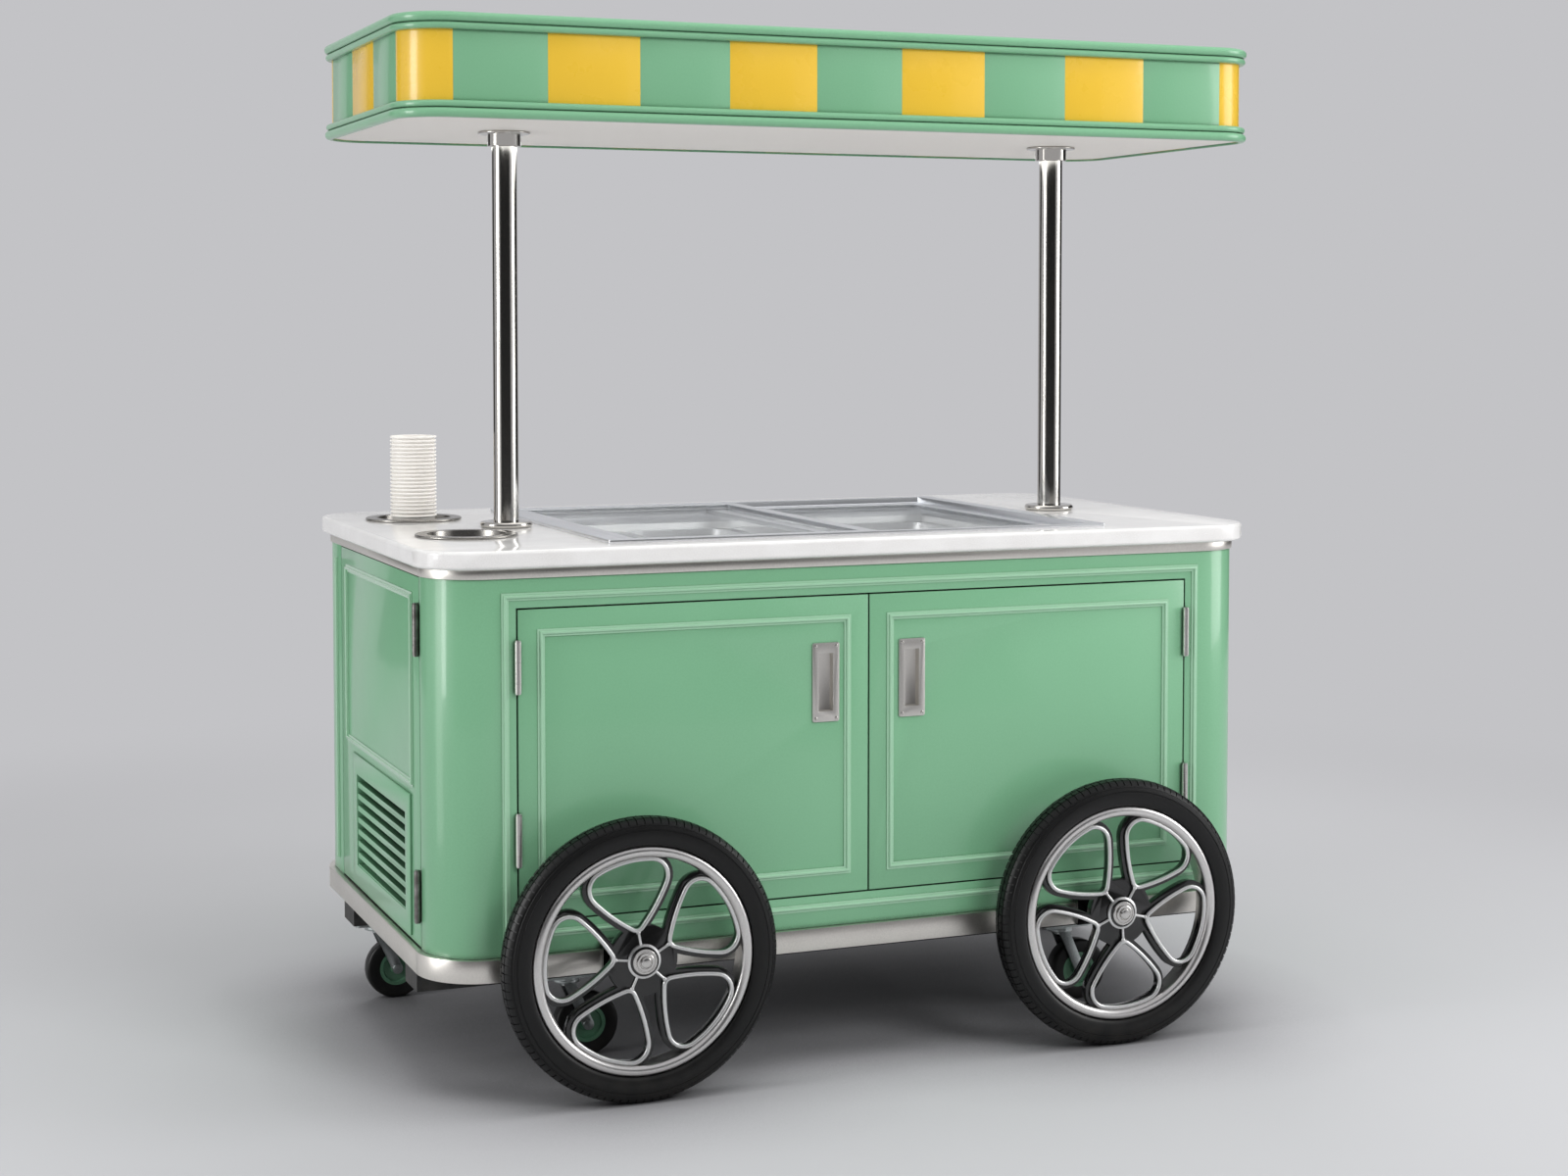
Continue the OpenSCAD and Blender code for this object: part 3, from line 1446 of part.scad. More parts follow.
module caster_front_left_fork() {
  at_caster(left, front) caster_fork();
}
module caster_front_left_wheel() {
  at_caster(left, front) caster_wheel();
}
module caster_front_right_fork() {
  at_caster(right, front) caster_fork();
}
module caster_front_right_wheel() {
  at_caster(right, front) caster_wheel();
}
module caster_rear_left_fork() {
  at_caster(left, rear) caster_fork();
}
module caster_rear_left_wheel() {
  at_caster(left, rear) caster_wheel();
}
module caster_rear_right_fork() {
  at_caster(right, rear) caster_fork();
}
module caster_rear_right_wheel() {
  at_caster(right, rear) caster_wheel();
}

// Condenser: finned core, fan shroud, and the fan motor on its pedestal
module condenser() {
  fin_pitch = core_w / fin_n;
  shaft_l = motor_gap + fan_hub_l + shaft_r / 2;
  color("darkgray") on_cart() {
    translate([core_x, fan_y - core_w / 2, floor_z]) linear_extrude(core_h) difference() {
      square([core_d, core_w]);
      for (i = [0 : fin_n - 1], x = [0, core_d - fin_d])
        translate([x - (x == 0 ? 1 : 0), i * fin_pitch + fin_t]) square([fin_d + 1, fin_pitch - fin_t]);
    }
    translate([shroud_x, fan_y - core_w / 2, floor_z]) difference() {
      cube([shroud_d, core_w, core_h]);
      translate([-1, shroud_t, shroud_t])
        cube([shroud_d - shroud_t + 1, core_w - 2 * shroud_t, core_h - 2 * shroud_t]);
      translate([0, core_w / 2, core_h / 2]) rotate([0, 90, 0])
        cylinder(h = shroud_d + 1, r = fan_r + fan_gap);
    }
    translate([motor_x, fan_y, fan_z]) rotate([0, 90, 0]) {
      cylinder(h = motor_l, r = motor_r);
      translate([0, 0, -shaft_l]) cylinder(h = shaft_l + shaft_r, r = shaft_r);
    }
    translate([motor_x + motor_l / 4, fan_y - motor_r / 2, floor_z])
      cube([motor_l / 2, motor_r, core_h / 2 - motor_r / 2]);
  }
}

// Fan: a hub on the motor's shaft and pitched blades
module condenser_fan() {
  blade_t = 2;
  root_half = 16;
  tip_half = 24;
  root_r = fan_hub_r - 2 * blade_t;
  blade_l = fan_r - fan_hub_r;
  color("darkslategray") on_cart() translate([fan_x, fan_y, fan_z]) rotate([0, 90, 0]) difference() {
    union() {
      cylinder(h = fan_hub_l, r = fan_hub_r, center = true);
      for (k = [0 : blade_n - 1]) rotate(k * 360 / blade_n)
        translate([root_r, 0, 0]) rotate([blade_tilt, 0, 0])
          linear_extrude(blade_t, center = true)
            polygon([[0, -root_half], [0, root_half],
                     [blade_l - 3 * blade_t, tip_half], [blade_l, -tip_half]]);
    }
    cylinder(h = fan_hub_l + 2, r = shaft_r + shaft_gap, center = true);
  }
}

// Hermetic compressor: a domed can on a foot plate
module compressor() {
  dome = comp_r / 2;
  foot_h = 8;
  can_h = comp_h - dome - foot_h;
  seam_z = comp_h * 0.42;
  seam_h = 6;
  seam_w = 5;
  color("#202020") on_cart() translate([comp_x, fan_y + comp_y, floor_z]) {
    translate([0, 0, foot_h / 2]) cube([2 * comp_r, 1.6 * comp_r, foot_h], center = true);
    translate([0, 0, foot_h]) rotate_extrude() {
      square([comp_r, can_h]);
      translate([0, can_h]) square([comp_r - dome, dome]);
      intersection() {
        translate([comp_r - dome, can_h]) circle(dome);
        translate([0, can_h]) square([comp_r, dome]);
      }
    }
    translate([0, 0, seam_z]) rotate_extrude() translate([comp_r - 1, 0]) square([seam_w, seam_h]);
  }
}

chassis_frame();
cabinet_shell();
inner_panels();
panel_mouldings();
skirt_band();
counter_trim();
countertop();
cold_well();
pan_rack();
gelato_pans();
lid_track();
cup_wells();
canopy_posts();
post_fittings();
canopy_soffit();
canopy_fascia();
canopy_panels();
canopy_rails();
canopy_roof();
hinge_leaves();
stub_axles();
caster_plates();
condenser();
compressor();
paper_cups();
condenser_fan();
door_left();
door_left_moulding();
door_left_pull();
door_left_hinges();
door_right();
door_right_moulding();
door_right_pull();
door_right_hinges();
service_door();
service_door_moulding();
service_door_grille();
service_door_hinges();
lid_left_frame();
lid_left_glass();
lid_right_frame();
lid_right_glass();
wheel_left_tyre();
wheel_left_rim();
wheel_left_spider();
wheel_left_loops();
wheel_left_cap();
wheel_right_tyre();
wheel_right_rim();
wheel_right_spider();
wheel_right_loops();
wheel_right_cap();
caster_front_left_fork();
caster_front_left_wheel();
caster_front_right_fork();
caster_front_right_wheel();
caster_rear_left_fork();
caster_rear_left_wheel();
caster_rear_right_fork();
caster_rear_right_wheel();
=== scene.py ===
"""Looks of an ice cream push cart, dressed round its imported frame.

Lengths are metres in the part's frame: +Z up, the doors and large wheels face -Y.
"""

import logging
import math
from dataclasses import dataclass
from enum import Enum
from typing import Callable, Optional, Sequence, Union

import bmesh
import bpy
from mathutils import Matrix, Vector


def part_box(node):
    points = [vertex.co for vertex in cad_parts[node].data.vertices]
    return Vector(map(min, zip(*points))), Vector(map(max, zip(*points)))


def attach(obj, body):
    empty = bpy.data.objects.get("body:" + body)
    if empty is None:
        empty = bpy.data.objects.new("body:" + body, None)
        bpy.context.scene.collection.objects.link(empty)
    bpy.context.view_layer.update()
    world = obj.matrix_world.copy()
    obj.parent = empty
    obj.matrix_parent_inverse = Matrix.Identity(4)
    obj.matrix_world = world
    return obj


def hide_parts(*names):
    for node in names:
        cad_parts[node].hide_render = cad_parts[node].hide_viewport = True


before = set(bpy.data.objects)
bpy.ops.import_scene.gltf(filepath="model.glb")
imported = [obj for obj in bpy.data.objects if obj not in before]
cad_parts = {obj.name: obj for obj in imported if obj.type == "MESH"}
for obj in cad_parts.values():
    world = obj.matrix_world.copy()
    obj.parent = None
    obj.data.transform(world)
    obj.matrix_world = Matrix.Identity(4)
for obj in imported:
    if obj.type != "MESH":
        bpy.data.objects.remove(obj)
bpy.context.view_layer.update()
ROOT = "cart"
LOG = logging.getLogger("push_cart")
MM = 0.001
POLE_R = 0.0002 * MM  # so small that the pole merges to one point
MERGE = 1e-6
CAD_MERGE = 2e-6
FLAT_DEG = 0.2
CREASE_DEG = 35.0
EASE_STEPS = 2
IMAGE_W = 1600
Point = tuple[float, float]
Place = tuple[float, float, float]
Term = Union[float, tuple, bpy.types.NodeSocket]


def srgb(code: str) -> tuple[float, float, float, float]:
    """Reads a screen colour.

    Args:
        code: The colour as #RRGGBB.

    Returns:
        The colour as scene-linear red, green, blue and alpha.
    """
    parts = [int(code[i:i + 2], 16) / 255 for i in (1, 3, 5)]
    linear = [c / 12.92 if c <= 0.04045 else ((c + 0.055) / 1.055) ** 2.4 for c in parts]
    return (linear[0], linear[1], linear[2], 1.0)


class Wiring:
    """Adds nodes to one node tree and links them by socket name."""

    def __init__(self, tree: bpy.types.NodeTree) -> None:
        """Starts on a tree, whose nodes stay as they are."""
        self.tree = tree

    def add(self, kind: str, inputs: Optional[dict] = None, **settings: object) -> bpy.types.Node:
        """Adds one node.

        Args:
            kind: The node's type name.
            inputs: Values or sockets for the node's inputs, by name or index.
            **settings: Properties of the node itself.

        Returns:
            The new node.
        """
        node = self.tree.nodes.new(kind)
        for key, value in settings.items():
            setattr(node, key, value)
        for key, value in (inputs or {}).items():
            if isinstance(value, bpy.types.NodeSocket):
                self.tree.links.new(value, node.inputs[key])
            else:
                node.inputs[key].default_value = value
        return node

    def math(self, operation: str, *terms: Term) -> bpy.types.NodeSocket:
        """Adds a Math node and returns its result."""
        return self.add("ShaderNodeMath", dict(enumerate(terms)), operation=operation).outputs[0]

    def noise(self, place: Term, scale: Term, detail: float) -> bpy.types.NodeSocket:
        """Adds a noise texture and returns its value."""
        return self.add("ShaderNodeTexNoise", {"Vector": place, "Scale": scale, "Detail": detail}).outputs[0]

    def ranged(self, value: Term, ends: tuple[float, float]) -> bpy.types.NodeSocket:
        """Adds a Map Range node and returns how far a value lies from one end to the other, 0 to 1."""
        return self.add("ShaderNodeMapRange", {
            "Value": value, "From Min": ends[0], "From Max": ends[1]}).outputs[0]

    def mix(self, factor: Term, first: Term, second: Term) -> bpy.types.NodeSocket:
        """Adds a colour mix.

        Args:
            factor: The share of the second colour.
            first: The colour at 0.
            second: The colour at 1.

        Returns:
            The mixed colour.
        """
        node = self.add("ShaderNodeMix", data_type="RGBA")
        sockets = {s.identifier: s for s in node.inputs}
        for key, value in (("Factor_Float", factor), ("A_Color", first), ("B_Color", second)):
            if isinstance(value, bpy.types.NodeSocket):
                self.tree.links.new(value, sockets[key])
            else:
                sockets[key].default_value = value
        return next(s for s in node.outputs if s.identifier == "Result_Color")


class EffectLibrary:
    """Shader node groups that several finishes share, each built once."""

    CLOUD_SPREAD = (0.14, 0.42)
    EDGE_POINTINESS = (0.52, 0.62)
    WORN_PATCH, WORN_SCALE = (0.4, 0.65), 60.0
    DUST_PATCH, DUST_SCALE = (0.35, 0.75), 35.0
    # Occlusion range and rays of the painted shade in narrow gaps
    OPEN_SHARE, CREVICE_RAYS = (0.55, 0.2), 3

    def __init__(self) -> None:
        """Builds every group."""
        self.mottle = self._mottle()
        self.scuffs = self._scuffs()
        self.streaks = self._streaks()
        self.edge_wear = self._edge_wear()
        self.road_dust = self._road_dust()
        # Painted shade for narrow gaps
        self.crevice_painted_shade = self._crevice_painted_shade()

    @staticmethod
    def _start(name: str, inputs: Sequence[tuple], outputs: Sequence[tuple]) -> tuple:
        """Makes an empty group.

        Args:
            name: The group's name.
            inputs: Name, socket type and default of each input.
            outputs: Name and socket type of each output.

        Returns:
            The group, its wiring, its input node and its output node.
        """
        group = bpy.data.node_groups.new(name, "ShaderNodeTree")
        for label, kind, default in inputs:
            socket = group.interface.new_socket(label, in_out="INPUT", socket_type=kind)
            if default is not None:
                socket.default_value = default
        for label, kind in outputs:
            group.interface.new_socket(label, in_out="OUTPUT", socket_type=kind)
        wiring = Wiring(group)
        return group, wiring, wiring.add("NodeGroupInput"), wiring.add("NodeGroupOutput")

    def _mottle(self) -> bpy.types.NodeTree:
        """Makes a group that drifts a colour towards a tint in soft clouds and fine specks.

        Returns:
            The group, which puts out a colour.
        """
        group, w, inside, out = self._start(
            "mottle",
            [("Vector", "NodeSocketVector", None), ("Colour", "NodeSocketColor", (1, 1, 1, 1)),
             ("Tint", "NodeSocketColor", (1, 1, 1, 1)), ("Cloud scale", "NodeSocketFloat", 4.0),
             ("Speck scale", "NodeSocketFloat", 300.0), ("Amount", "NodeSocketFloat", 0.5)],
            [("Colour", "NodeSocketColor")])
        cloud = w.noise(inside.outputs["Vector"], inside.outputs["Cloud scale"], 3.0)
        speck = w.noise(inside.outputs["Vector"], inside.outputs["Speck scale"], 2.0)
        spread = w.ranged(w.math("MULTIPLY", cloud, speck), self.CLOUD_SPREAD)
        factor = w.math("MULTIPLY", spread, inside.outputs["Amount"])
        result = w.mix(factor, inside.outputs["Colour"], inside.outputs["Tint"])
        w.tree.links.new(result, out.inputs["Colour"])
        return group

    def _scuffs(self) -> bpy.types.NodeTree:
        """Makes a group that varies a roughness in handling marks.

        Returns:
            The group, which puts out a roughness.
        """
        group, w, inside, out = self._start(
            "scuffs",
            [("Vector", "NodeSocketVector", None), ("Roughness", "NodeSocketFloat", 0.4),
             ("Spread", "NodeSocketFloat", 0.08), ("Scale", "NodeSocketFloat", 18.0)],
            [("Roughness", "NodeSocketFloat")])
        noise = w.noise(inside.outputs["Vector"], inside.outputs["Scale"], 6.0)
        centred = w.math("SUBTRACT", noise, 0.5)
        shift = w.math("MULTIPLY", centred, inside.outputs["Spread"])
        total = w.add("ShaderNodeMath", {0: shift, 1: inside.outputs["Roughness"]}, operation="ADD",
                      use_clamp=True)
        w.tree.links.new(total.outputs[0], out.inputs["Roughness"])
        return group

    def _streaks(self) -> bpy.types.NodeTree:
        """Makes a group for drawn and brushed lines: fine across, long along.

        Returns:
            The group, which puts out a colour and the lines' height.
        """
        group, w, inside, out = self._start(
            "streaks",
            [("Vector", "NodeSocketVector", None), ("Stretch", "NodeSocketVector", (3.0, 3.0, 900.0)),
             ("Colour", "NodeSocketColor", (1, 1, 1, 1)), ("Line colour", "NodeSocketColor", (0, 0, 0, 1)),
             ("Depth", "NodeSocketFloat", 0.3)],
            [("Colour", "NodeSocketColor"), ("Height", "NodeSocketFloat")])
        stretched = w.add("ShaderNodeVectorMath", {0: inside.outputs["Vector"], 1: inside.outputs["Stretch"]},
                          operation="MULTIPLY")
        noise = w.noise(stretched.outputs[0], 1.0, 5.0)
        factor = w.math("MULTIPLY", noise, inside.outputs["Depth"])
        colour = w.mix(factor, inside.outputs["Colour"], inside.outputs["Line colour"])
        w.tree.links.new(colour, out.inputs["Colour"])
        w.tree.links.new(noise, out.inputs["Height"])
        return group

    def _edge_wear(self) -> bpy.types.NodeTree:
        """Makes a group that finds rubbed convex edges.

        Returns:
            The group, which puts out a mask.
        """
        group, w, inside, out = self._start(
            "edge_wear",
            [("Vector", "NodeSocketVector", None), ("Amount", "NodeSocketFloat", 0.3)],
            [("Mask", "NodeSocketFloat")])
        point = w.add("ShaderNodeNewGeometry").outputs["Pointiness"]
        edge = w.ranged(point, self.EDGE_POINTINESS)
        patch = w.ranged(w.noise(inside.outputs["Vector"], self.WORN_SCALE, 4.0), self.WORN_PATCH)
        worn = w.math("MULTIPLY", edge, patch)
        w.tree.links.new(w.math("MULTIPLY", worn, inside.outputs["Amount"]), out.inputs["Mask"])
        return group

    def _road_dust(self) -> bpy.types.NodeTree:
        """Makes a group that lays dust, thickest near the ground.

        Returns:
            The group, which puts out a mask.
        """
        group, w, inside, out = self._start(
            "road_dust",
            [("Vector", "NodeSocketVector", None), ("Reach", "NodeSocketFloat", 0.3),
             ("Amount", "NodeSocketFloat", 0.2)],
            [("Mask", "NodeSocketFloat")])
        height = w.add("ShaderNodeSeparateXYZ", {"Vector": inside.outputs["Vector"]}).outputs["Z"]
        low = w.ranged(w.math("DIVIDE", height, inside.outputs["Reach"]), (1.0, 0.0))
        patch = w.ranged(w.noise(inside.outputs["Vector"], self.DUST_SCALE, 7.0), self.DUST_PATCH)
        dust = w.math("MULTIPLY", low, patch)
        w.tree.links.new(w.math("MULTIPLY", dust, inside.outputs["Amount"]), out.inputs["Mask"])
        return group

    def _crevice_painted_shade(self) -> bpy.types.NodeTree:
        """Makes a group for painted shade, which finds narrow gaps where little light gets in.

        Returns:
            The group, which puts out the mask of painted shade.
        """
        group, w, inside, out = self._start(
            "crevice_painted_shade", [("Reach", "NodeSocketFloat", 0.01)], [("Mask", "NodeSocketFloat")])
        near = w.add("ShaderNodeAmbientOcclusion", {"Distance": inside.outputs["Reach"]},
                     samples=self.CREVICE_RAYS)
        w.tree.links.new(w.ranged(near.outputs["AO"], self.OPEN_SHARE), out.inputs["Mask"])
        return group


class Grain(Enum):
    """How a finish's fine relief runs."""

    PEEL = "soft orange peel of a sprayed coat"
    BRUSHED = "level brush lines"
    DRAWN = "upright draw lines"
    GRIT = "fine even grit"
    POLISH = "nearly none"


@dataclass(frozen=True)
class Finish:
    """A finish: its colours, its shine and its fine relief."""

    name: str
    colour: str
    tint: str
    roughness: float
    grain: Grain = Grain.GRIT
    metallic: float = 0.0
    coat: float = 0.0
    coat_rough: float = 0.06
    specular: float = 0.5
    ior: float = 1.5
    transmission: float = 0.0
    alpha: float = 1.0
    mottle: float = 0.5
    cloud_scale: float = 4.0
    speck_scale: float = 300.0
    scuff: float = 0.08
    wear: float = 0.0
    wear_colour: str = "#D8DAD6"
    dust: float = 0.0
    dust_reach: float = 0.3
    # Reach of the painted shade in narrow gaps, in metres; 0 for none
    crevice_painted_shade: float = 0.0

    RELIEF = {Grain.PEEL: (0.05, 160.0), Grain.BRUSHED: (0.12, 0.0), Grain.DRAWN: (0.06, 0.0),
              Grain.GRIT: (0.12, 900.0), Grain.POLISH: (0.02, 90.0)}
    STRETCH = {Grain.BRUSHED: (2.0, 2.0, 900.0), Grain.DRAWN: (700.0, 700.0, 2.0)}
    DUST_COLOUR = "#A79F92"
    # Colour of the painted shade in narrow gaps
    PAINTED_SHADE_COLOUR = "#0B120D"
    RELIEF_DEPTH = 0.6 * MM

    def material(self, effects: EffectLibrary) -> bpy.types.Material:
        """Makes the finish's material.

        Args:
            effects: The shared shader groups.

        Returns:
            The material.
        """
        made = bpy.data.materials.new("finish_" + self.name)
        made.use_nodes = True
        made.node_tree.nodes.clear()
        made.diffuse_color = srgb(self.colour)
        w = Wiring(made.node_tree)
        place = w.add("ShaderNodeTexCoord").outputs["Object"]
        colour = self._coloured(w, effects, place)
        rough = self._group(w, effects.scuffs, {
            "Vector": place, "Roughness": self.roughness, "Spread": self.scuff})
        shader = w.add("ShaderNodeBsdfPrincipled", {
            "Base Color": colour, "Roughness": rough.outputs["Roughness"], "Metallic": self.metallic,
            "Coat Weight": self.coat, "Coat Roughness": self.coat_rough,
            "Transmission Weight": self.transmission, "Specular IOR Level": self.specular,
            "IOR": self.ior, "Alpha": self.alpha, "Normal": self._relief(w, effects, place)})
        out = w.add("ShaderNodeOutputMaterial")
        w.tree.links.new(shader.outputs[0], out.inputs["Surface"])
        return made

    @staticmethod
    def _group(w: Wiring, tree: bpy.types.NodeTree, inputs: dict) -> bpy.types.Node:
        """Places a shared group in a material and sets its inputs.

        Args:
            w: The material's wiring.
            tree: The group.
            inputs: Values or sockets for the group's inputs, by name.

        Returns:
            The group's node.
        """
        node = w.add("ShaderNodeGroup", node_tree=tree)
        for key, value in inputs.items():
            if isinstance(value, bpy.types.NodeSocket):
                w.tree.links.new(value, node.inputs[key])
            else:
                node.inputs[key].default_value = value
        return node

    def _coloured(self, w: Wiring, effects: EffectLibrary,
                  place: bpy.types.NodeSocket) -> bpy.types.NodeSocket:
        """Works out the colour with its clouds, lines, wear, dust and painted shade in narrow gaps.

        Args:
            w: The material's wiring.
            effects: The shared shader groups.
            place: The object's own coordinates.

        Returns:
            The colour.
        """
        base = self._group(w, effects.mottle, {
            "Vector": place, "Colour": srgb(self.colour), "Tint": srgb(self.tint), "Amount": self.mottle,
            "Cloud scale": self.cloud_scale, "Speck scale": self.speck_scale}).outputs["Colour"]
        if self.grain in self.STRETCH:
            base = self._group(w, effects.streaks, {
                "Vector": place, "Colour": base, "Line colour": srgb(self.tint),
                "Stretch": self.STRETCH[self.grain]}).outputs["Colour"]
        if self.wear:
            mask = self._group(w, effects.edge_wear, {"Vector": place, "Amount": self.wear}).outputs["Mask"]
            base = w.mix(mask, base, srgb(self.wear_colour))
        if self.dust:
            mask = self._group(w, effects.road_dust, {
                "Vector": place, "Amount": self.dust, "Reach": self.dust_reach}).outputs["Mask"]
            base = w.mix(mask, base, srgb(self.DUST_COLOUR))
        # Painted shade: the colour darkens towards a near-black green in narrow gaps, where little light gets
        # in
        if self.crevice_painted_shade:
            mask = self._group(w, effects.crevice_painted_shade, {"Reach": self.crevice_painted_shade}).outputs["Mask"]
            base = w.mix(mask, base, srgb(self.PAINTED_SHADE_COLOUR))
        return base

    def _relief(self, w: Wiring, effects: EffectLibrary,
                place: bpy.types.NodeSocket) -> bpy.types.NodeSocket:
        """Works out the finish's fine relief.

        Args:
            w: The material's wiring.
            effects: The shared shader groups.
            place: The object's own coordinates.

        Returns:
            The normal.
        """
        strength, scale = self.RELIEF[self.grain]
        if self.grain in self.STRETCH:
            height = self._group(w, effects.streaks, {
                "Vector": place, "Stretch": self.STRETCH[self.grain]}).outputs["Height"]
        else:
            height = w.noise(place, scale, 3.0)
        bump = w.add("ShaderNodeBump", {
            "Height": height, "Strength": strength, "Distance": self.RELIEF_DEPTH})
        return bump.outputs["Normal"]


# The mint gel coat carries painted shade in its narrow gaps, such as shut lines, with a 12 mm reach
MINT = Finish("mint_gel_coat", "#7DB38D", "#74AA84", 0.30, Grain.PEEL, coat=0.45, coat_rough=0.09,
              specular=0.3, mottle=0.5, cloud_scale=2.5, crevice_painted_shade=0.012)
# The beads are the same mint paint as the panels; their lighter colour is a painted highlight on their lit
# edges, and their coat gives real shine
MINT_BEAD_PAINTED_HIGHLIGHT = Finish("mint_bead_painted_highlight", "#9CC9A8", "#92BF9E", 0.18, Grain.PEEL, coat=0.9, mottle=0.4)
YELLOW = Finish("yellow_gel_coat", "#EABF3C", "#E2B533", 0.28, Grain.PEEL, coat=0.3, specular=0.4, mottle=0.4,
                cloud_scale=2.5)
STONE = Finish("white_quartz", "#EDECEB", "#DCDAD8", 0.14, Grain.POLISH, coat=0.3, coat_rough=0.04,
               specular=0.35, mottle=0.7, cloud_scale=14.0, speck_scale=420.0, scuff=0.04)
BRUSHED = Finish("brushed_stainless", "#EEEAE3", "#D2CEC8", 0.33, Grain.BRUSHED, metallic=1.0, scuff=0.12,
                 dust=0.08, dust_reach=0.3)
SATIN_STEEL = Finish("satin_stainless", "#E0DDD8", "#CCC9C4", 0.42, Grain.GRIT, metallic=1.0, wear=0.3)
HINGE_STEEL = Finish("hinge_steel", "#D6D4D0", "#C0BEBA", 0.34, Grain.GRIT, metallic=1.0, wear=0.3)
CAP_METAL = Finish("ringed_cap_steel", "#D6D4D1", "#C2C0BD", 0.24, Grain.GRIT, metallic=1.0, scuff=0.06)
POLISHED = Finish("polished_steel", "#C9C6C1", "#B8B5AF", 0.12, Grain.DRAWN, metallic=1.0, scuff=0.04,
                  mottle=0.3)
WELL_STEEL = Finish("cup_well_steel", "#A5A29D", "#8E8B86", 0.27, Grain.DRAWN, metallic=1.0, scuff=0.08)
# Painted shade: the service door's hinges are this dark steel so they read as the dark slot at its seam
SLOT_SHADE_STEEL = Finish("painted_slot_shade_steel", "#6C6A66", "#595753", 0.35, Grain.GRIT, metallic=1.0, wear=0.3)
ALUMINIUM = Finish("satin_aluminium", "#EEF0F3", "#DCDEE1", 0.30, Grain.POLISH, metallic=1.0, wear=0.25)
RIM_METAL = Finish("turned_rim", "#E4E2E0", "#D0CECC", 0.30, Grain.GRIT, metallic=1.0, dust=0.03)
LOOP_METAL = Finish("bent_bar_aluminium", "#ECECEB", "#DADAD9", 0.36, Grain.GRIT, metallic=1.0, wear=0.25)
PAN_STEEL = Finish("pressed_pan_steel", "#ECEDED", "#DADCDC", 0.32, Grain.BRUSHED, metallic=1.0)
LINER = Finish("white_liner", "#F0F2F2", "#E5E8E8", 0.42, Grain.PEEL)
SOFFIT = Finish("soffit_board", "#F6F2EC", "#EDE8E1", 0.5, Grain.PEEL, mottle=0.6, cloud_scale=1.5)
GLASS = Finish("lid_glass", "#F2F6F6", "#EAF1F2", 0.03, Grain.POLISH, transmission=1.0, ior=1.35, alpha=0.22,
               scuff=0.03)
RUBBER = Finish("tyre_rubber", "#0B0B0B", "#131313", 0.40, Grain.GRIT, specular=0.35, mottle=0.7, scuff=0.16,
                dust=0.03, dust_reach=0.12)
ENAMEL = Finish("black_enamel", "#0C0C0C", "#131313", 0.18, Grain.PEEL, coat=0.5, wear=0.15,
                wear_colour="#3A3A3A")
ZINC = Finish("bright_zinc", "#B9BFBE", "#9CA3A3", 0.30, Grain.GRIT, metallic=1.0, mottle=0.9,
              cloud_scale=40.0, wear=0.3, dust=0.1)
CASTER_HUB = Finish("caster_hub_green", "#4C7A5F", "#426C53", 0.38, Grain.PEEL, coat=0.2, dust=0.12,
                    dust_reach=0.13)
PAPER = Finish("cup_paper", "#FDFAF5", "#F6F2EC", 0.6, Grain.GRIT, mottle=0.7, cloud_scale=30.0)
FRAME_BLACK = Finish("frame_powder_coat", "#1E1F1F", "#262727", 0.55, Grain.GRIT, wear=0.3,
                     wear_colour="#55585A", dust=0.2)
COIL = Finish("coil_aluminium", "#4A4C4D", "#3A3C3D", 0.5, Grain.DRAWN, metallic=1.0)
DARK_PLASTIC = Finish("fan_plastic", "#202222", "#2A2C2C", 0.45, Grain.GRIT)
CAN_BLACK = Finish("compressor_enamel", "#151616", "#1E1F1F", 0.35, Grain.PEEL)


